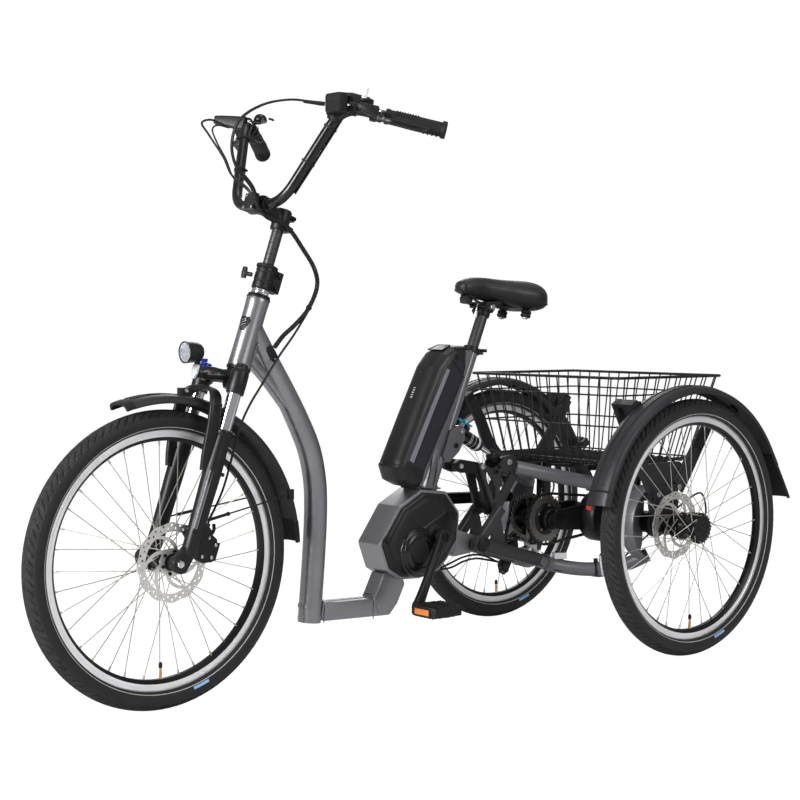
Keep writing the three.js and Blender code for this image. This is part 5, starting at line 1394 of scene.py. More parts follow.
def make_cranks():
    axis0 = at(0, CRANK_Y, CRANK_Z)
    piece = Piece()
    piece.add(turned([(10, -80), (10, 72), (8, 74)], axis0, X, 28), "dark_alloy")
    for side, x0, x1 in ((1, 74, 94), (-1, -82, -96)):
        hub, tip = at(x0, CRANK_Y, CRANK_Z), crank_tip(x1, side)
        way = (tip - hub).normalized()
        outline = [hub - way * 0.012, hub, hub.lerp(tip, 0.16), hub.lerp(tip, 0.5), hub.lerp(tip, 0.84), tip,
                   tip + way * 0.011]
        path = smooth_path(outline, 6)
        n = len(path)
        tall, thick = [], []
        for i in range(n):
            t = i / (n - 1)
            end = min(1, 6 * t + 0.35, 6 * (1 - t) + 0.35)
            tall.append((16.5 - 5.5 * math.sin(math.pi * min(1, t * 1.15)) - 1.0 * t) * end ** 0.5)
            thick.append(7.2 - 0.9 * math.sin(math.pi * t))
        piece.add(beam(path, thick, tall, up=X, square=0.55, sides=28), "black")
        out = X * side
        flute = [hub.lerp(tip, 0.22) + out * 0.0068, hub.lerp(tip, 0.5) + out * 0.0062,
                 hub.lerp(tip, 0.78) + out * 0.0066]
        piece.add(beam(smooth_path(flute, 6), 0.9, [2 + 3 * math.sin(math.pi * i / 12) for i in range(13)], up=X,
                       square=0.8), "gloss_black")
        piece.add(turned([(15.5, -7), (16.4, -6), (16.4, 7.4), (15, 9), (10.5, 9), (10, 6.5), (0.1, 6.5)], hub, out,
                         32), "black")
        piece.add(turned([(7.6, 6), (7.6, 7.8), (5, 7.8), (4.4, 5.8), (0.1, 5.8)], hub, out, 8), "dark_alloy")
        piece.add(turned([(12.6, -7), (13.2, -6), (13.2, 6.4), (12, 7.6), (6, 7.6)], tip, out, 28), "black")
        piece.add(cylinder(6, 6, 13, tip, out, 18), "steel")
    spider = []
    for k in range(200):
        a = TAU * k / 200
        spider.append(((22 + 40 * max(0, math.cos(2.5 * a)) ** 6) * math.cos(a),
                       (22 + 40 * max(0, math.cos(2.5 * a)) ** 6) * math.sin(a)))
    piece.add(cutout([spider], 4, at(-72.6, CRANK_Y, CRANK_Z), Y, Z), "black")
    piece.build("crank_arms", "crank", "black_metal", ["crankset"], sharp=38)
    ring = Piece()
    low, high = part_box("chainring")
    tip_r = 500 * (high.z - low.z)
    ring.add(toothed(36, tip_r, tip_r - 4.4, 34, 3, at(1000 * (low.x + high.x) / 2, CRANK_Y, CRANK_Z), windows=5),
             "sprocket")
    ring.build("chainring_teeth", "crank", "steel", ["chainring"], sharp=32)


def toothed(teeth, tip_r, root_r, bore_r, thick, origin, windows=0, turn=0.0):
    outline = []
    for k in range(teeth):
        for offset, r in ((0.0, root_r), (0.22, root_r), (0.38, tip_r), (0.62, tip_r), (0.78, root_r)):
            a = turn + TAU * (k + offset) / teeth
            outline.append((r * math.cos(a), r * math.sin(a)))
    holes = [circle2(bore_r, 40)] if bore_r else []
    for k in range(windows):
        a0 = TAU * k / windows + 0.12
        a1 = TAU * (k + 1) / windows - 0.12
        inner, outer = bore_r + 6, root_r - 7
        if outer - inner < 4:
            break
        window = [(outer * math.cos(a), outer * math.sin(a)) for a in np.linspace(a0, a1, 10)]
        window += [(inner * math.cos(a), inner * math.sin(a)) for a in np.linspace(a1, a0, 10)]
        holes.append(window)
    return cutout([outline] + holes, thick, origin, Y, Z)


def make_pedal(side, word):
    tip = crank_tip(0, side)
    centre = Vector((side * 0.155, tip.y, tip.z))
    piece = Piece()
    piece.add(turned([(6, -50), (6, -42), (9, -40), (9, 30), (7, 38)], centre, X * side, 24), "dark_alloy")

    def rail(points, ha, hb, look="plastic", square=0.5):
        piece.add(beam([centre + Vector(p) / 1000 for p in points], ha, hb, up=Z, square=square,
                       sides=20), look)

    for y in (-34.5, 34.5):
        rail([(-side * 38, y, 0), (-side * 30, y * 1.04, 0), (0, y * 1.08, 0), (side * 30, y * 1.04, 0),
              (side * 38, y * 0.98, 0)], [11, 12.4, 12.4, 12.4, 11], [4, 5, 5, 5, 4])
    for x in (-35, 34):
        rail([(side * x, -36, 0), (side * x, 0, 0), (side * x, 36, 0)], [11, 12.4, 11], [4.4, 5.2, 4.4])
    rail([(-side * 34, 0, 0), (side * 34, 0, 0)], [11.5, 11.5], [11, 11])
    for y in (-20, 20):
        for z in (-11.6, 11.6):
            rail([(-34, y, z), (34, y, z)], 1.3, 2.4, "plastic_fine")
    for z in (-12.4, 12.4):
        for x in range(-27, 29, 9):
            for y in (-35, 35):
                piece.add(turned([(1.6, -1), (1.3, 1.2), (0.8, 1.4)], centre + Vector((x, y, z)) / 1000,
                                 Vector((0, 0, 1 if z > 0 else -1)), 8), "plastic")
    for y in (-39.7, 39.7):
        frame_way = Vector((0, 1 if y > 0 else -1, 0))
        piece.add(block(centre + Vector((0, y + math.copysign(2.4, y), 0)) / 1000, (52, 2.2, 17)), "plastic")
        piece.add(block(centre + Vector((0, y, 0)) / 1000 + frame_way * 0.0032, (45, 2, 12.5)), "amber")
    piece.build(f"{word}_pedal_body", f"{word}_pedal", "black_plastic", [f"pedal_{word}"], bevel=0.6)


def belt_points(circles):
    """The closed outline of a belt round circles of (y, z, r), clockwise, as points about 2 mm apart."""
    n = len(circles)
    joins = []
    for i in range(n):
        (y0, z0, r0), (y1, z1, r1) = circles[i], circles[(i + 1) % n]
        d = math.hypot(y1 - y0, z1 - z0)
        along = math.atan2(z1 - z0, y1 - y0)
        lean = math.acos((r0 - r1) / d)
        joins.append(along + lean)
    out = []
    for i in range(n):
        y, z, r = circles[i]
        a0, a1 = joins[i - 1], joins[i]
        while a1 > a0:
            a1 -= TAU
        steps = max(2, int((a0 - a1) * r / 3))
        arc = [(y + r * math.cos(a0 + (a1 - a0) * k / steps), z + r * math.sin(a0 + (a1 - a0) * k / steps))
               for k in range(steps + 1)]
        out += arc
        y2, z2, r2 = circles[(i + 1) % n]
        end = (y2 + r2 * math.cos(joins[i]), z2 + r2 * math.sin(joins[i]))
        run = math.hypot(end[0] - arc[-1][0], end[1] - arc[-1][1])
        for k in range(1, int(run / 3)):
            t = k / int(run / 3)
            out.append((arc[-1][0] + (end[0] - arc[-1][0]) * t, arc[-1][1] + (end[1] - arc[-1][1]) * t))
    return out


def chain(piece, circles, x, pitch=12.7):
    """Roller chain: inner and outer side plates by turns, with a roller and pin at each joint."""
    line = belt_points(circles)
    lengths = [0.0]
    closed = line + line[:1]
    for a, b in zip(closed, closed[1:]):
        lengths.append(lengths[-1] + math.hypot(b[0] - a[0], b[1] - a[1]))
    count = 2 * round(lengths[-1] / pitch / 2)
    step = lengths[-1] / count

    def spot(s):
        s = s % lengths[-1]
        k = int(np.searchsorted(lengths, s, side="right")) - 1
        k = min(k, len(closed) - 2)
        t = (s - lengths[k]) / max(1e-9, lengths[k + 1] - lengths[k])
        return (closed[k][0] + (closed[k + 1][0] - closed[k][0]) * t,
                closed[k][1] + (closed[k + 1][1] - closed[k][1]) * t)

    for k in range(count):
        a, b = spot(k * step), spot((k + 1) * step)
        pa, pb = at(x, *a), at(x, *b)
        way = (pb - pa).normalized()
        side_way = Vector((0, -way.z, way.y))
        gap = 1.75 if k % 2 else 2.85
        plate = []
        for i in range(14):
            t = TAU * i / 14
            u = math.cos(t)
            waist = 4.1 if abs(u) > 0.35 else 3.1
            plate.append(pa.lerp(pb, 0.5) + way * ((step / 2 + 3.4) * u / 1000)
                         + side_way * (waist * math.sin(t) / 1000))
        for s in (-1, 1):
            piece.add(slab([p + X * (s * gap / 1000) for p in plate], 0.9, X), "chain")
        piece.add(cylinder(1.8, -3.6, 3.6, pa, X, 6), "chain")
        piece.add(cylinder(3.6, -1.3, 1.3, pa, X, 8), "chain")


CASSETTE = [(57, -62), (52, -66), (46, -70), (40.5, -74), (36, -78), (32, -82), (28, -86), (24, -90), (21, -94)]


def make_chains():
    drive = Piece()
    chain(drive, [(-552, 296.5, 68), (-222, 180, 14.5), (-150, 300, 51)], CHAIN_X)
    drive.build("drive_chain_links", None, "chain_steel", ["drive_chain"], sharp=30,
                between=("frame", "rear_arm", at(CHAIN_X, -470, 290), at(CHAIN_X, -240, 270)))
    last = Piece()
    chain(last, [(-150, 300, 62), (0, 300, 46.5)], 2)
    last.build("axle_chain_links", "rear_arm", "chain_steel", ["axle_chain"], sharp=30)
    jack = Piece()
    origin = at(0, *JACK)
    jack.add(cylinder(9, -100, 44, origin, X, 28), "dark_alloy")
    for k, (r, x) in enumerate(CASSETTE):
        jack.add(toothed(int(r * 0.49), r, r - 4, 14, 1.9, origin + X * (x / 1000), windows=4 if r > 45 else 0,
                         turn=k * 0.11), "sprocket" if k % 2 == 0 else "dark_alloy")
        jack.add(cylinder(16, -1.4, 1.4, origin + X * ((x - 2) / 1000), X, 24), "dark_alloy")
    jack.add(toothed(30, 58.3, 53.8, 37, 3, origin + X * 0.002), "sprocket")
    jack.add(turned([(12, -3), (37.5, -3), (38.5, -2), (38.5, 5), (36, 7), (28, 8), (12, 8)], origin, X, 40), "black")
    for k in range(5):
        a = TAU * k / 5 + 0.2
        jack.add(bolt(origin + Vector((7.4, 33 * math.cos(a), 33 * math.sin(a))) / 1000, X, 3.2, 2.6), "steel")
    jack.add(turned([(10, 8), (26, 8), (27, 10), (27, 22), (24, 26), (14, 27)], origin, X, 36), "dark_alloy")
    jack.add(turned([(9, 36), (12, 38), (12, 42), (6, 44)], origin, X, 24), "steel")
    jack.add(turned([(10, -38), (34, -38), (36, -34), (36, -12), (30, -8), (10, -8)], origin, X, 36), "dark_alloy")
    jack.build("jackshaft_cluster", "jack", "steel", ["jackshaft"], sharp=32)


def make_derailleur():
    piece = Piece()
    for y, z, r in ((-222, 180, 9.2), (-190, 226, 12)):
        piece.add(toothed(11, r, r - 3, 3, 3, at(CHAIN_X, y, z)), "plastic")
        piece.add(cylinder(5, -5, 5, at(CHAIN_X, y, z), X, 16), "steel")
    cage = [(-226, 168), (-212, 170), (-196, 198), (-178, 222), (-178, 240), (-196, 240), (-204, 226), (-232, 186)]
    for x0, x1 in ((-82.5, -80), (-66, -64)):
        piece.add(prism(rounded(cage, 6), x0, x1), "charcoal")
    piece.add(beam([at(-84, -190, 232), at(-92, -176, 246), at(-84, -160, 262), at(-70, -152, 276)], [8, 11, 10, 7],
                   [7, 9, 8, 7], up=X, square=0.6), "plastic_fine")
    piece.add(turned([(9, -90), (10, -88), (10, -78), (8, -76)], at(0, -176, 238), X, 20), "black")
    piece.add(bolt(at(-90, -176, 238), -X, 4.4, 3), "steel")
    piece.build("derailleur_cage", "rear_arm", "black_metal", ["derailleur"], bevel=0.6)


def make_guard():
    guard = Piece()
    low = [(-450, 352), (-445, 375.5), (-215, 367), (-204, 360), (-204, 348), (-215, 341.5), (-444, 349.5)]
    guard.add(prism(rounded(low, 6), -83, -57), "gloss_black")
    guard.add(tube([at(-57, y, z) for y, z in ((-440, 363), (-330, 359), (-220, 354))], 1.6, 6), "plastic")
    guard.build("chain_guard_shell", "rear_arm", "black_plastic", ["chain_guard"], bevel=2.2)


# ---- battery and saddle ----
BATTERY_REAR = [(-579, 441), (-569, 462), (-543, 511), (-509, 569), (-462, 653)]
BATTERY_MID = [(-655, 458), (-643, 424), (-614, 411), (-584, 413), *BATTERY_REAR, (-453, 677), (-438, 714),
               (-440, 722), (-490, 722.5), (-518, 708), (-547, 676), (-600, 572), (-651, 471)]
BATTERY_SIDE = [(-634, 456), (-626, 432), (-610, 420), (-586, 420), *BATTERY_REAR, (-456, 674), (-462, 697),
                (-466, 702), (-480, 704), (-499, 692), (-516, 673), (-572, 572), (-627, 466)]
BATTERY_HALF = 42


def battery_share(x):
    """How far the battery's outline has gone from its middle one to its side one at x."""
    t = max(0.0, min(1.0, (abs(x) - 8) / (BATTERY_HALF - 8)))
    return 1 - math.sqrt(max(0.0, 1 - t * t))


def battery_shell(mid, side, half=BATTERY_HALF):
    rows = []
    spots = [half * math.sin(math.pi / 2 * k / 10) for k in range(-10, 11)]
    for x, inset in [(-half - 0.6, 2.4)] + [(x, 0) for x in spots] + [(half + 0.6, 2.4)]:
        share = battery_share(max(-BATTERY_HALF, min(BATTERY_HALF, x)))
        line = [(a[0] + (b[0] - a[0]) * share, a[1] + (b[1] - a[1]) * share) for a, b in zip(mid, side)]
        rows.append([at(x, y, z) for y, z in rounded(shrink(line, inset), 7, 5)])
    return capped(rows, inside_out=True)


def make_battery():
    half = BATTERY_HALF
    piece = Piece()
    piece.add(battery_shell(BATTERY_MID, BATTERY_SIDE), "charcoal")
    # strip: a painted highlight on each side of the battery, the lit front bevel of the side flank.
    strip = [(-623, 470), (-568, 573), (-513, 671), (-504, 667), (-558, 566), (-612, 462)]
    # panel: painted shade on each side of the battery, the side flank in shadow.
    panel = [(-609, 461), (-555, 565), (-502, 665), (-494, 680), (-470, 695), (-461, 673), (-466, 656), (-512, 571),
             (-546, 513), (-573, 463), (-584, 446)]
    for side in (-1, 1):
        piece.add(prism(rounded(strip, 2), side * (half - 3), side * (half + 1.1)), "painted_highlight_bevel")
        piece.add(prism(rounded(panel, 3), side * (half - 3), side * (half + 0.9)), "painted_shade_flank")
        seam = [at(side * (half + 0.8), y, z) for y, z in ((-512, 673), (-495, 690), (-470, 660))]
        piece.add(tube(seam, 1.4, 6), "plastic")
        rear_edge = [at(side * (half + 0.4), y + 1.5, z) for y, z in BATTERY_REAR[1:]]
        piece.add(tube(rear_edge, 1.1, 6), "plastic")
    piece.build("battery_shell", "battery_pack", "battery_shell", ["battery"], sharp=32)

    top = Piece()
    a, b = Vector((-514, 711)), Vector((-480, 723))
    along = (b - a).normalized()
    normal = Vector((-along.y, along.x))

    def on_top(x, s, lift=0.0):
        p = a + along * s + normal * lift
        return at(x, p.x, p.y)

    rim = [on_top(x, s, 1.4) for x, s in rounded([(-25, 1), (25, 1), (22, 33), (-22, 33)], 4)]
    top.add(tube(rim + rim[:1], 1.2, 8), "gloss_black")
    top.add(slab([on_top(x, s, 0.9) for x, s in rounded([(-24, 2), (24, 2), (21, 32), (-21, 32)], 4)], 0.9,
                 on_top(0, 0, 10) - on_top(0, 0, 0)), "plastic_fine")

    def on_front(x, s, lift):
        share = battery_share(x)
        mid = Vector((-651, 471)).lerp(Vector((-547, 676)), s)
        side = Vector((-627, 466)).lerp(Vector((-516, 673)), s)
        p = mid.lerp(side, share) + Vector((-0.89, 0.45)) * lift
        return at(x, p.x, p.y)

    front_normal = (on_front(0, 0.5, 10) - on_front(0, 0.5, 0)).normalized()
    for k in range(5):
        s = 0.665 + 0.025 * k
        top.add(beam([on_front(-3.4, s, 0.4), on_front(3.4, s, 0.4)], 0.6, 1.0, up=front_normal, square=0.6), "white")
    top.add(turned([(4.2, -1), (4.4, 0.9), (3.6, 1.5), (2.4, 1.0), (0.1, 0.9)], on_front(0, 0.92, 0), front_normal,
                   24), "gloss_black")
    low_mid = [(-656, 463), (-657, 455), (-645, 422), (-615, 409), (-583, 411), (-577, 441), (-606, 455)]
    low_side = [(-634, 461), (-637, 454), (-628, 430), (-611, 418), (-586, 418), (-580, 441), (-606, 455)]
    top.add(battery_shell(low_mid, low_side, BATTERY_HALF + 0.8), "plastic_fine")
    top.add(turned([(6, 0), (6.4, 4), (5.6, 5.4), (0.1, 5.4)], at(half - 3, -486, 697), X, 22), "dark_alloy")
    top.build("battery_trim", "battery_pack", "black_plastic", sharp=34)

    rail = Piece()
    rail.add(prism(rounded([(-600, 412), (-572, 412), (-572, 440), (-558, 468), (-498, 571), (-458, 645), (-470, 660),
                            (-560, 500), (-600, 430)], 6), -13, 13), "plastic")
    rail.add(cylinder(9, -22, 22, at(0, -588, 410), X, 20), "plastic")
    rail.build("battery_rail", "frame", "black_plastic", bevel=1.2)


SADDLE = [(-441, 9, 861, 847), (-434, 19, 870, 842), (-410, 26, 878, 836), (-374, 31, 880, 831), (-338, 43, 877, 823),
          (-302, 62, 875, 813), (-268, 76, 874, 805), (-242, 80, 872, 801), (-222, 72, 866, 804),
          (-210, 52, 857, 816)]


def spline(keys, t):
    """A smooth value through rows of (position, value...), by position."""
    if t <= keys[0][0]:
        return keys[0][1:]
    if t >= keys[-1][0]:
        return keys[-1][1:]
    k = max(i for i in range(len(keys) - 1) if keys[i][0] <= t)
    before, a, b, after = keys[max(0, k - 1)], keys[k], keys[k + 1], keys[min(len(keys) - 1, k + 2)]
    u = (t - a[0]) / (b[0] - a[0])
    values = []
    for i in range(1, len(a)):
        m0 = (b[i] - before[i]) / (b[0] - before[0]) * (b[0] - a[0])
        m1 = (after[i] - a[i]) / (after[0] - a[0]) * (b[0] - a[0])
        values.append((2 * u ** 3 - 3 * u ** 2 + 1) * a[i] + (u ** 3 - 2 * u ** 2 + u) * m0
                      + (3 * u ** 2 - 2 * u ** 3) * b[i] + (u ** 3 - u ** 2) * m1)
    return tuple(values)


def saddle_ring(y, grow=0.0, n=56):
    """One section of the saddle, from the middle of the top round the sides and back: x and z by angle."""
    half, top, bottom = spline(SADDLE, y)
    half, tall = half + grow, (top - bottom)
    middle_z = bottom + tall * 0.42
    ring = []
    for k in range(n):
        a = TAU * k / n
        c, s = math.cos(a), math.sin(a)
        x = half * math.copysign(abs(s) ** 0.72, s)
        if c > 0:
            nose, tail = max(0, min(1, (y + 400) / 50)), max(0, min(1, (-230 - y) / 30))
            groove = 3.2 * math.exp(-((x / 9) ** 2)) * nose * tail
            z = middle_z + (top + grow * 0.5 - middle_z) * abs(c) ** 0.85 - groove
        else:
            z = middle_z - (middle_z - bottom + grow * 0.3) * abs(c) ** 0.6
        ring.append(at(x, y, z))
    return ring


def make_saddle():
    ys = [*np.linspace(SADDLE[0][0], -426, 10), *np.linspace(-421, -228, 42), *np.linspace(-225, SADDLE[-1][0], 10)]
    rows = [saddle_ring(y) for y in ys]
    points, faces = capped(rows)
    n = len(rows[0])
    mesh = bpy.data.meshes.new("saddle_cover")
    mesh.from_pydata([tuple(p) for p in points], [], faces)
    piece = bpy.data.objects.new("saddle_cover", mesh)
    bpy.context.scene.collection.objects.link(piece)
    mesh.materials.append(MAT["vinyl"])
    mesh.materials.append(MAT["vinyl_side"])
    mesh.materials.append(MAT["plastic_fine"])
    for poly in mesh.polygons:
        k = poly.index % n
        turn = abs((k + 0.5) / n * 360)
        turn = min(turn, 360 - turn)
        poly.material_index = 0 if turn < 74 else 1 if turn < 108 else 2
    mesh.shade_smooth()
    round_off = piece.modifiers.new("smooth", "SUBSURF")
    round_off.levels = 1
    round_off.render_levels = 2
    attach(piece, "seat")
    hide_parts("saddle")

    trim = Piece()
    for side in (-1, 1):
        for grow, turn, look, r in ((0.5, 74, "thread", 0.65), (0.9, 106, "plastic", 1.5)):
            seam = []
            for y in ys[2:-2]:
                ring = saddle_ring(y, grow)
                k = turn / 360 * n
                i = int(k)
                p = ring[i].lerp(ring[i + 1], k - i)
                seam.append(Vector((side * p.x, p.y, p.z)))
            if look == "thread":
                for a, b in zip(seam, seam[1:]):
                    trim.add(tube([a, a.lerp(b, 0.62)], r, 5), "thread")
            else:
                trim.add(tube(seam, r, 8), look)
    for side in (-1, 1):
        rail = smooth_path([at(side * 10, -424, 846), at(side * 14, -412, 834), at(side * 20, -392, 820),
                            at(side * 21, -350, 815), at(side * 22, -300, 813), at(side * 30, -270, 812),
                            at(side * 34, -252, 816)], 6)
        trim.add(tube(rail, 3.4, 12), "dark_alloy")
        elastomer = at(side * 40, -262, 795)
        trim.add(turned([(9, -8), (11.5, -7), (12.5, -2), (9.5, 0), (12.5, 2), (11.5, 7), (9, 9)], elastomer,
                        Vector((0, 0.3, 1)), 24), "rubber")
        trim.add(turned([(4, -12), (6.5, -11), (6.5, -9)], elastomer, Vector((0, 0.3, 1)), 16), "steel")
    nose = at(0, -416, 829)
    body = [(-10, -10), (8, -12), (11, -3), (10, 6), (-8, 9), (-12, 0)]
    rows = [[nose + Vector((x, u, v)) / 1000 for u, v in rounded(shrink(body, inset), 3.4)]
            for x, inset in ((-12, 2.2), (-10, 0), (10, 0), (12, 2.2))]
    trim.add(capped(rows, inside_out=True), "plate_dark")
    under = [at(0, -424, 846), at(0, -380, 834), at(0, -300, 822), at(0, -248, 814)]
    trim.add(beam(smooth_path(under, 5), 4, [12, 13, 14, 15, 16, 18, 21, 24, 28, 32, 37, 42, 46, 50, 53, 54],
                  up=Z, square=0.7), "plastic")
    trim.build("saddle_frame", "seat", "black_plastic", sharp=40)


def make_seatpost():
    piece = Piece()
    axis, top = SEAT_AXIS, at(*SEAT_TOP)
    piece.add(turned([(13.0, -150), (13.5, -149), (13.5, 80), (12.8, 86), (12.8, 92)], top, axis, 40), "arm")
    for k in range(7):
        mark = top + axis * (0.018 + 0.0085 * k)
        piece.add(turned([(13.52, 0), (13.62, 0.1), (13.62, 0.5), (13.52, 0.6)], mark, axis, 40, closed=True),
                  "black")
    head = top + axis * 0.0855
    cradle = [(-380, 794), (-346, 797), (-336, 808), (-343, 812), (-378, 810), (-386, 803)]
    piece.add(prism(rounded(cradle, 5), -15, 15), "black")
    piece.add(prism(rounded([(-382, 812), (-378, 808), (-338, 810), (-332, 813), (-340, 824), (-374, 823)], 4), -27,
                    27), "black")
    piece.add(turned([(5.5, -31), (6, -30), (6, 30), (5.5, 31)], at(0, -358, 811), X, 20), "steel")
    for x in (-12, 12):
        piece.add(turned([(4.6, -14), (4.6, 0), (2.8, 0), (2.8, 22)], at(0, -372 + x, 800), Vector((0, 0.2, 1)),
                         14), "steel")
    piece.add(turned([(13.6, -6), (16.5, -4), (17, 4), (15, 9), (9, 11)], head, axis, 32), "black")
    piece.build("seatpost_tube", "seat", "black_metal", ["seatpost"], bevel=1.0)
    lever = Piece()
    path = smooth_path([at(17, -369.6, 710), at(8, -367, 710), at(-6, -366, 710), at(-17, -368, 710)], 6)
    lever.add(beam(path, 3.6, [2.8] * len(path), up=Z, square=0.6), "black")
    lever.add(turned([(4.4, -3), (5, -2), (5, 2), (4.4, 3)], at(15, -370, 709), Vector((0, 0.1, 1)), 18),
              "dark_alloy")
    lever.build("seat_lever_handle", "seat_lever", "black_metal", ["seat_clamp_lever"], sharp=38)


# ---- shock and linkage ----
def make_shock():
    top, eye = at(0, *SHOCK_TOP), at(0, *SHOCK_EYE)
    way = (eye - top).normalized()
    up = X.cross(way).normalized()
    if up.z < 0:
        up = -up
    can = Piece()
    can.add(turned([(5.4, -16.5), (11, -16.5), (12, -15), (12, 15), (11, 16.5), (5.4, 16.5)], top, X, 32,
                   closed=True), "gloss_black")
    can.add(cylinder(4, -17, 17, top, X, 20), "steel")
    body = [(8, 9), (11, 12), (15.4, 19), (16.2, 23), (16.2, 74), (15.6, 78), (13.4, 80), (13.4, 84), (12, 86),
            (9.4, 86.4)]
    can.add(turned(body, top, way, 40), "gloss_black")
    for k, (h, look) in enumerate(((41, "alloy"), (45.4, "alloy"), (57, "white"))):
        wide = 1.2 if k < 2 else 0.8
        can.add(turned([(16.3, h), (16.55, h + 0.2), (16.55, h + wide), (16.3, h + wide + 0.2)], top, way, 40,
                       closed=True), look)
    can.add(turned([(16.2, 68), (17.4, 69), (17.4, 73), (16.2, 74)], top, way, 40, closed=True), "alloy")
    port = top + way * 0.030 + up * 0.012
    can.add(turned([(6.6, -3), (7.8, 2), (7.8, 11), (6.6, 12.6), (0.1, 12.8)], port, up, 24), "gloss_black")
    can.add(turned([(4, 0), (4, 9), (3.2, 10.4), (0.1, 10.4)], top + way * 0.020 + X * 0.013, X, 18), "dark_alloy")
    can.build("shock_can", "shock_can", "black_metal", ["shock_body"], sharp=32)

    switch = Piece()
    low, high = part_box("shock_lever")
    centre = (low + high) / 2
    pad = [centre - way * 0.021, centre - way * 0.012, centre, centre + way * 0.012, centre + way * 0.021]
    switch.add(beam([p + up * (0.001 * k) for p, k in zip(pad, (1.4, 0.2, 0, 0.6, 2.0))], [1.8, 2.4, 2.6, 2.4, 1.8],
                    [4.6, 6.0, 5.6, 6.0, 4.8], up=up, square=0.6, sides=20), "cyan")
    switch.add(turned([(6.2, -3), (6.8, 0), (6.4, 3.2), (2.2, 3.4), (2, 2.4), (0.1, 2.4)], centre, up, 24), "cyan")
    switch.build("shock_lever_blade", "shock_switch", "lever_cyan", ["shock_lever"], sharp=40)

    shaft = Piece()
    shaft.add(cylinder(6, 60, 144, top, way, 28), "chrome")
    shaft.add(turned([(6, 84), (9.6, 85), (9.6, 88.5), (6, 89.5)], top, way, 28), "rubber")
    shaft.add(turned([(6, 124), (12.6, 125), (14.4, 128), (14.4, 144), (12, 150), (8, 153)], top, way, 28), "black")
    shaft.add(turned([(5.7, -13), (10.2, -13), (11, -12), (11, 12), (10.2, 13), (5.7, 13)], eye, X, 32, closed=True),
            "gloss_black")
    shaft.build("shock_rod_eye", "shock_rod", "chrome", ["shock_shaft"], sharp=32)


def side_plate(piece, outlines, x, thick, look):
    piece.add(cutout(outlines, thick, at(x, 0, 0), Y, Z), look)


V_PLATE = [(-399, 446), (-390, 452), (-356, 434), (-330, 442), (-318, 462), (-296, 464), (-280, 448), (-266, 444),
           (-262, 430), (-334, 326), (-350, 332)]
V_WINDOWS = [[(-384, 436), (-348, 356), (-343, 388), (-366, 426)], [(-326, 426), (-292, 426), (-332, 368)]]


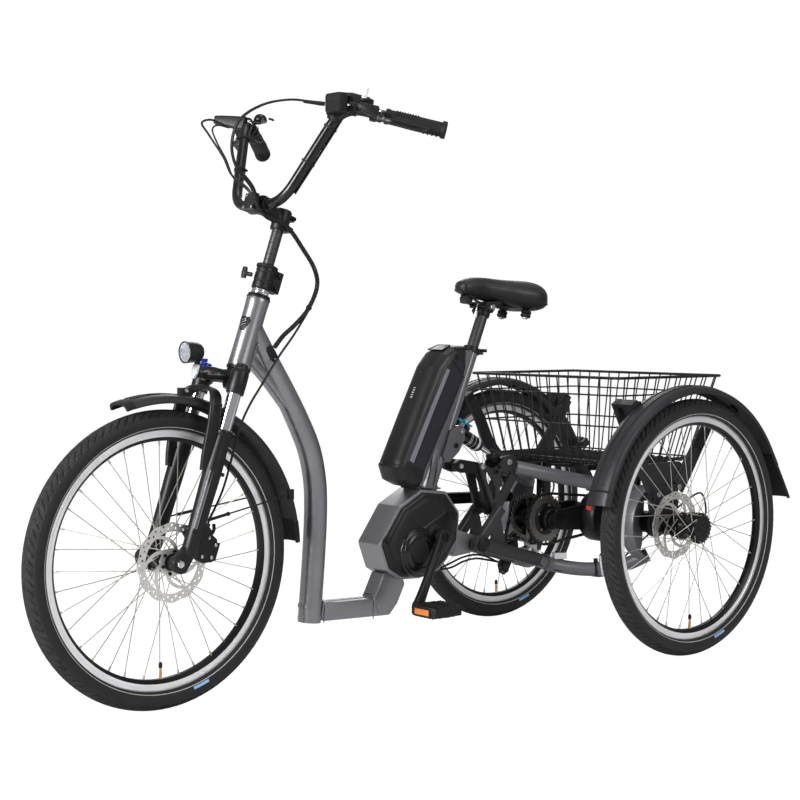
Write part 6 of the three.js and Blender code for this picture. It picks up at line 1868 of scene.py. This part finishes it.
def make_arm():
    arm = Piece()
    for side in (-1, 1):
        sx = side
        lower_front = [at(sx * 44, -410, 266), at(sx * 44, -330, 242.6), at(sx * 44, -250, 219.6),
                       at(sx * 44, -190, 204)]
        arm.add(beam(lower_front, [16.6, 16.4, 16, 15.6], 11.8, up=Z, square=0.42, sides=32), "arm")
        strut = [at(sx * 38, -404, 272), at(sx * 38, -372, 306), at(sx * 38, -338, 342)]
        arm.add(beam(strut, 12.5, 9.8, up=Vector((0, -0.7, 0.7)), square=0.42, sides=28), "arm")
        eye = [(11.3, -13), (19.4, -13), (20, -12), (20, 12), (19.4, 13), (11.3, 13)]
        arm.add(turned(eye, at(sx * 44, *PIVOT), X, 40, closed=True), "arm")
        lower = smooth_path([at(sx * x, y, z) for x, y, z in ((42, -218, 211), (49, -175, 196), (98, -102, 184),
                                                              (158, -40, 196), (200, -4, 222))], 10)
        arm.add(tube(lower, 16.5, 32), "arm_light")
        upper = smooth_path([at(sx * x, y, z) for x, y, z in ((28, -280, 434), (80, -184, 410), (150, -76, 385),
                                                              (200, -8, 367))], 10)
        arm.add(tube(upper, 16.5, 32), "arm_light")
        seat = at(sx * 46, -196, 204)
        arm.add(weld(ring_points(seat, (lower[4] - lower[0]), 17.6)[:28], 1.4), "arm_light")
        clamp = lower[22]
        way = (lower[23] - lower[21]).normalized()
        arm.add(washer(16.6, 18.4, 3, clamp, way, 32), "plastic")
        arm.add(block(clamp + Vector((0, 0, 0.021)), (10, 8, 9), way, Z), "plastic")
        arm.add(prism([(-352, 326), (-336, 318), (-318, 246), (-372, 262)], sx * 34, sx * 38), "arm")
    for side in (-1, 1):
        side_plate(arm, [rounded(V_PLATE, 5)] + [rounded(w, 3.5, 3) for w in V_WINDOWS], side * 25, 5.4, "arm")
        link = [(-470, 452), (-452, 462), (-396, 452), (-380, 434), (-396, 428), (-446, 430), (-468, 438)]
        arm.add(prism(rounded(link, 5), side * 12, side * 22), "black")
        arm.add(bolt(at(side * 22, -450, 446), X * side, 6, 4), "steel")
        for y, z in ((-302, 448), (-388, 442)):
            arm.add(bolt(at(side * 27.8, y, z), X * side, 7, 4), "steel")
        arm.add(bolt(at(side * 27.8, -346, 428), X * side, 6.4, 5), "black")
        arm.add(bolt(at(side * 27.8, -352, 340), X * side, 5, 4), "black")
        arm.add(bolt(at(side * 27.8, -334, 438), X * side, 4.4, 3), "dark_alloy")
        inner = [(-392, 438), (-372, 424), (-352, 342), (-340, 330), (-352, 326), (-366, 336), (-398, 430)]
        arm.add(prism(inner, side * 14, side * 22), "black")
        for a, b in (((-384, 436), (-350, 350)), ((-296, 422), (-338, 356))):
            arm.add(bar(at(side * 22, *a), at(side * 22, *b), 1.2, 6), "black")
    arm.add(cylinder(4, -35, 35, at(0, *SHOCK_EYE), X, 24), "steel")
    arm.add(cylinder(12, -30, 30, at(0, -280, 434), X, 32), "arm")
    arm.add(cylinder(14, -46, 46, at(0, -200, 207), X, 32), "arm")
    arm.add(cylinder(8, -34, 34, at(0, -346, 345), X, 24), "arm")
    arm.build("swingarm_tubes", "rear_arm", "frame_dark", ["swingarm"], sharp=36)

    trim = Piece()
    for side in (-1, 1):
        shield = []
        for i in range(33):
            a = math.radians(198 + 150 * i / 32)
            shield.append([at(side * x, r * math.sin(a), AXLE_Z + r * math.cos(a))
                           for x, r in ((190, 86.5), (190, 91), (192, 92), (225, 92), (227, 91), (227, 86.5))])
        trim.add(capped(shield), "arm_light")
        disc = [(91 * math.sin(math.radians(a)), AXLE_Z + 91 * math.cos(math.radians(a))) for a in range(198, 349, 6)]
        disc += [(-8, AXLE_Z + 46), (-12, AXLE_Z), (-14, AXLE_Z - 52)]
        trim.add(prism(disc, side * 187, side * 190.5), "arm_light")
    trim.build("wheel_guards", "rear_arm", "frame_dark", sharp=36)


def make_axle():
    axle = Piece()
    axle.add(turned([(12.6, -256), (26, -256), (26, -20), (26, 110), (26, 256), (12.6, 256)], at(0, 0, AXLE_Z), X,
                    44),
             "black")
    gear = [(26, 10), (48, 14), (58, 18), (62, 24), (62, 66), (58, 72), (46, 76), (26, 80)]
    axle.add(turned(gear, at(0, 0, AXLE_Z), X, 56), "black")
    for k in range(8):
        a = TAU * k / 8
        axle.add(bolt(at(70, 53 * math.sin(a), AXLE_Z + 53 * math.cos(a)), X, 3.6, 4), "dark_alloy")
    for x in (-236, 236):
        axle.add(turned([(30, -8), (34, -6), (34, 6), (30, 8)], at(x * 0.93, 0, AXLE_Z), X, 36), "black")
    for x0, x1 in ((30, 38), (-48, -40)):
        plate = [(-168, 312), (-176, 298), (-166, 284), (-140, 276), (-40, 268), (-22, 262), (26, 282), (26, 322),
                 (-10, 334), (-60, 330), (-140, 324)]
        axle.add(prism(rounded(plate, 8), x0, x1), "black")
        axle.add(turned([(11, -2), (19, -2), (20, 0), (20, 10), (11, 11)], at(x1 if x0 > 0 else x0 - 6, *JACK), X,
                        32), "dark_alloy")
    for side in (-1, 1):
        for y in (-46, 32):
            axle.add(block(at(side * 150, y * 0.2, 352), (26, 5, 150), X, Vector((0, 0.05 * y / 40, 1))), "black")
        axle.add(block(at(side * 150, 0, 374), (14, 24, 104)), "black")
        rise = smooth_path([at(side * 128, -60, 206), at(side * 130, -44, 250), at(side * 134, -24, 300),
                            at(side * 144, -10, 372), at(side * 150, -4, 420)], 6)
        axle.add(beam(rise, 12, 17, up=X, square=0.35, sides=28), "gloss_black")
        axle.add(turned([(17.2, -12), (21, -11), (21, 11), (17.2, 12)], at(side * 125, -73, 190),
                        Vector((side * 0.66, 0.72, 0.16)), 32, closed=True), "alloy")
        axle.add(block(at(side * 125, -73, 213), (26, 30, 12), Vector((side * 0.66, 0.72, 0.1))), "alloy")
        for k in (-8, 8):
            axle.add(bolt(at(side * 125 + k * side * 0.7, -73 + k * 0.7, 218), Z, 4, 5), "dark_alloy")
    for side in (-1, 1):
        clamp = at(side * 58, -160, 196)
        axle.add(block(clamp + Vector((0, 0, 0.022)), (30, 24, 14), Vector((side * 0.5, 0.86, 0))), "alloy")
        for k in (-7, 7):
            axle.add(bolt(clamp + Vector((side * k * 0.5, k * 0.86, 29)) / 1000, Z, 3.8, 4), "dark_alloy")
    axle.add(beam([at(-168, 0, 426), at(168, 0, 426)], 13, 13.6, up=Z, square=0.3, sides=28), "black")
    for y in (-104, 104):
        axle.add(tube(smooth_path([at(-40, y * 0.2, 428), at(-46, y, 434)], 4), 5, 12), "black")
    for side in (-1, 1):
        rail = [at(side * 120, -140, 432), at(side * 120, 150, 432)]
        axle.add(beam(rail, 7, 9, up=Z, square=0.3), "black")
        hub_plate = [(-38, 322), (38, 322), (44, 352), (40, 392), (-40, 392), (-44, 352)]
        axle.add(prism(rounded(hub_plate, 9), side * 231, side * 253), "plate_dark")
        wing = [(-62, 392), (62, 392), (80, 420), (54, 446), (-54, 446), (-80, 420)]
        axle.add(prism(rounded(wing, 10), side * 240, side * 247), "plate_dark")
        for lower, mid, high, lean in (((-30, 372), (-104, 464), (-166, 578), -30),
                                       ((44, 386), (114, 474), (183, 572), 34)):
            near = ((lower[0] + mid[0]) / 2 + 2, (lower[1] + mid[1]) / 2)
            far = ((mid[0] + high[0]) / 2 + 2, (mid[1] + high[1]) / 2)
            line = [at(side * 247, *p) for p in (lower, near, mid, far, high)]
            arm = smooth_path(line, 6)
            n = len(arm)
            axle.add(beam(arm, 4.4, [25 - 10 * (i / (n - 1)) ** 0.7 for i in range(n)], up=X, square=0.35, sides=24),
                     "plate_dark")
            rib = smooth_path([p + X * (side * 0.004) for p in line], 6)
            axle.add(beam(rib, 2.4, [9 - 4 * i / (n - 1) for i in range(n)], up=X, square=0.6), "plate_dark")
            for p in (lower, mid, high):
                axle.add(bolt(at(side * 251.5, *p), X * side, 6.4, 4.6), "steel" if p is lower else "black")
            turn = math.radians(lean)
            radial = Vector((0, math.sin(turn), math.cos(turn)))
            on = on_wheel(side * 275, FENDER_SHIFT, 0, FENDER_R + 5.6, turn)
            axle.add(block(on + Vector((side * 0.004, 0, 0)), (52, 22, 9), X, radial), "plastic")
            axle.add(block(on - Vector((side * 0.025, 0, 0)) - radial * 0.012, (14, 24, 34), X, radial), "plastic")
        disc_caliper = [(50, 268), (84, 264), (96, 284), (94, 312), (76, 326), (52, 320)]
        axle.add(prism(rounded(disc_caliper, 8), side * 282, side * 295), "black")
        axle.add(prism(rounded(disc_caliper, 8), side * 262, side * 275), "black")
        axle.add(prism(rounded([(70, 270), (92, 276), (92, 314), (72, 318)], 5), side * 275, side * 283), "plastic")
        for y, z in ((60, 276), (84, 308)):
            axle.add(bolt(at(side * 295, y, z), X * side, 4, 3), "steel")
        axle.add(prism(rounded([(20, 286), (64, 280), (64, 316), (20, 318)], 6), side * 246, side * 262), "black")
        hose = [(285, 96, 296), (280, 112, 330), (256, 122, 366), (226, 112, 350), (196, 60, 300), (150, -20, 220),
                (118, -66, 168), (92, -110, 172), (60, -180, 186)]
        axle.add(tube(smooth_path([at(side * x, y, z) for x, y, z in hose], 8), 2.4, 10), "hose")
    axle.build("axle_and_carrier", "rear_arm", "black_metal", ["axle_housing"], bevel=1.2)

    lines = Piece()
    for x0, drop in ((30, 0), (36, 8)):
        run = [(x0, -560, 206), (x0, -531, 215), (x0, -490, 226 - drop), (x0 - 2, -450, 236 - drop),
               (x0 - 6, -407, 238 - drop), (x0 - 10, -370, 231 - drop), (x0 - 10, -330, 214)]
        lines.add(tube(smooth_path(places(run), 10), 2.4, 10), "hose")
    lines.build("underside_lines", None, "cable_black",
                between=("frame", "rear_arm", at(30, -470, 230), at(30, -350, 230)))


def make_basket():
    low, high = (1000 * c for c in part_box("basket"))
    ymid = 1000 * REAR_AXLE.y
    z0, z1 = low.z + 3, high.z - 3
    bottom = (-202, 202, -132, 155)
    top = (-247.5, 247.5, low.y - ymid + 3, high.y - ymid - 3)

    def level(z, per=5, round_r=18):
        t = (z - z0) / (z1 - z0)
        x0, x1, y0, y1 = (bottom[k] + (top[k] - bottom[k]) * t for k in range(4))
        return [at(x, y, z) for x, y in rounded([(x0, y0), (x1, y0), (x1, y1), (x0, y1)], round_r, per)]

    def hoop(z, r):
        line = level(z)
        return tube(line + line[:1], r, 10)

    piece = Piece()
    piece.add(hoop(z1, 3.4), "wire")
    for z in (z0 + (z1 - z0) * 0.44, z0 + (z1 - z0) * 0.8, z0 + 6):
        piece.add(hoop(z, 2.0), "wire")

    def upright(t, wall):
        spots = []
        for z in (z1, z0 + 8):
            s = (z - z0) / (z1 - z0)
            x0, x1, y0, y1 = (bottom[k] + (top[k] - bottom[k]) * s for k in range(4))
            spots.append({"front": (x0 + (x1 - x0) * t, y0), "back": (x0 + (x1 - x0) * t, y1),
                          "left": (x1, y0 + (y1 - y0) * t), "right": (x0, y0 + (y1 - y0) * t)}[wall] + (z,))
        (xa, ya, za), (xb, yb, zb) = spots
        inward = {"front": (0, 9), "back": (0, -9), "left": (-9, 0), "right": (9, 0)}[wall]
        path = [at(xa, ya, za), at(xb, yb, zb), at(xb + inward[0] * 0.25, yb + inward[1] * 0.25, z0 + 2.6),
                at(xb + inward[0], yb + inward[1], z0 + 1.2)]
        return tube(path, 1.7, 8)

    for k in range(14):
        t = 0.045 + 0.91 * k / 13
        piece.add(upright(t, "front"), "wire")
        piece.add(upright(t, "back"), "wire")
    for k in range(10):
        t = 0.06 + 0.88 * k / 9
        piece.add(upright(t, "left"), "wire")
        piece.add(upright(t, "right"), "wire")
    for k in range(15):
        x = bottom[0] + 10 + (bottom[1] - bottom[0] - 20) * k / 14
        piece.add(bar(at(x, bottom[2] + 3, z0 + 1.2), at(x, bottom[3] - 3, z0 + 1.2), 1.7, 8), "wire")
    for k in range(11):
        y = bottom[2] + 10 + (bottom[3] - bottom[2] - 20) * k / 10
        piece.add(bar(at(bottom[0] + 3, y, z0 - 1.6), at(bottom[1] - 3, y, z0 - 1.6), 1.7, 8), "wire")
    piece.build("basket_wires", "rear_arm", "basket_wire", ["basket"], sharp=50)


# ---- room, light and camera ----
def make_stage():
    def plane(name, corners, material):
        mesh = bpy.data.meshes.new(name)
        mesh.from_pydata(corners, [], [(0, 1, 2, 3)])
        mesh.materials.append(material)
        sheet = bpy.data.objects.new(name, mesh)
        bpy.context.scene.collection.objects.link(sheet)
        return sheet

    pale = surface("studio_floor", (0.7, 0.7, 0.705), 0.9, tone=0.01, var=0.03, bump=0.01)
    t = pale.node_tree
    glow = node(t, "ShaderNodeEmission", Strength=1.25)
    share = t.nodes.new("ShaderNodeMath")
    share.operation = "MULTIPLY"
    share.inputs[1].default_value = 0.76
    mix = t.nodes.new("ShaderNodeMixShader")
    t.links.new(t.nodes.new("ShaderNodeLightPath").outputs["Is Camera Ray"], share.inputs[0])
    t.links.new(share.outputs[0], mix.inputs["Fac"])
    t.links.new(t.nodes["Principled BSDF"].outputs[0], mix.inputs[1])
    t.links.new(glow.outputs[0], mix.inputs[2])
    t.links.new(mix.outputs[0], t.nodes["Material Output"].inputs["Surface"])
    plane("floor", [(-60, -60, 0), (60, -60, 0), (60, 60, 0), (-60, 60, 0)], pale)

    world = bpy.data.worlds.new("studio")
    bpy.context.scene.world = world
    world.use_nodes = True
    t = world.node_tree
    seen = t.nodes["Background"]
    give(seen, Color=(1, 1, 1, 1), Strength=1.05)
    fill = node(t, "ShaderNodeBackground", Color=(0.96, 0.98, 1.0, 1), Strength=0.3)
    both = t.nodes.new("ShaderNodeMixShader")
    t.links.new(t.nodes.new("ShaderNodeLightPath").outputs["Is Camera Ray"], both.inputs["Fac"])
    t.links.new(fill.outputs[0], both.inputs[1])
    t.links.new(seen.outputs[0], both.inputs[2])
    t.links.new(both.outputs[0], t.nodes["World Output"].inputs["Surface"])

    def lamp(name, location, target, size, energy, size_y=None):
        light = bpy.data.lights.new(name, "AREA")
        light.energy = energy
        light.shape = "RECTANGLE"
        light.size = size
        light.size_y = size_y or size
        holder = bpy.data.objects.new(name, light)
        holder.location = location
        holder.rotation_euler = (Vector(target) - Vector(location)).to_track_quat("-Z", "Y").to_euler()
        bpy.context.scene.collection.objects.link(holder)

    lamp("key", (0.2, -5.4, 2.4), (0, -0.2, 0.6), 2.2, 360)
    lamp("side", (4.8, 0.6, 3.0), (0, 0.1, 0.5), 2.4, 90)
    lamp("rim", (-3.6, 2.6, 2.8), (0, 0, 0.6), 2.0, 60)
    lamp("top", (0.4, 0.2, 5.0), (0, 0, 0), 2.6, 40)

    camera = bpy.data.cameras.new("camera")
    camera.lens = 72.71
    camera.sensor_width = 36
    right = Vector((0.64901, 0.76076, 0.00419))
    up = Vector((-0.03891, 0.02768, 0.99886))
    forward = Vector((-0.75978, 0.64844, -0.04757))
    eye = bpy.data.objects.new("camera", camera)
    place = at(2739.45, -2953.46, 772.85)
    eye.matrix_world = Matrix(((right.x, up.x, -forward.x, place.x), (right.y, up.y, -forward.y, place.y),
                               (right.z, up.z, -forward.z, place.z), (0, 0, 0, 1)))
    bpy.context.scene.collection.objects.link(eye)
    bpy.context.scene.camera = eye
    bpy.context.scene.view_settings.view_transform = "Standard"


make_front_wheel()
make_rear_wheel(1, "left")
make_rear_wheel(-1, "right")
make_front_fender()
make_rear_fender(1, "left")
make_rear_fender(-1, "right")
make_frame()
make_fork()
make_headlight()
make_stem()
make_handlebar()
make_levers()
make_controls()
make_cables()
make_cranks()
make_pedal(1, "left")
make_pedal(-1, "right")
make_chains()
make_derailleur()
make_guard()
make_battery()
make_saddle()
make_seatpost()
make_shock()
make_arm()
make_axle()
make_basket()
make_stage()
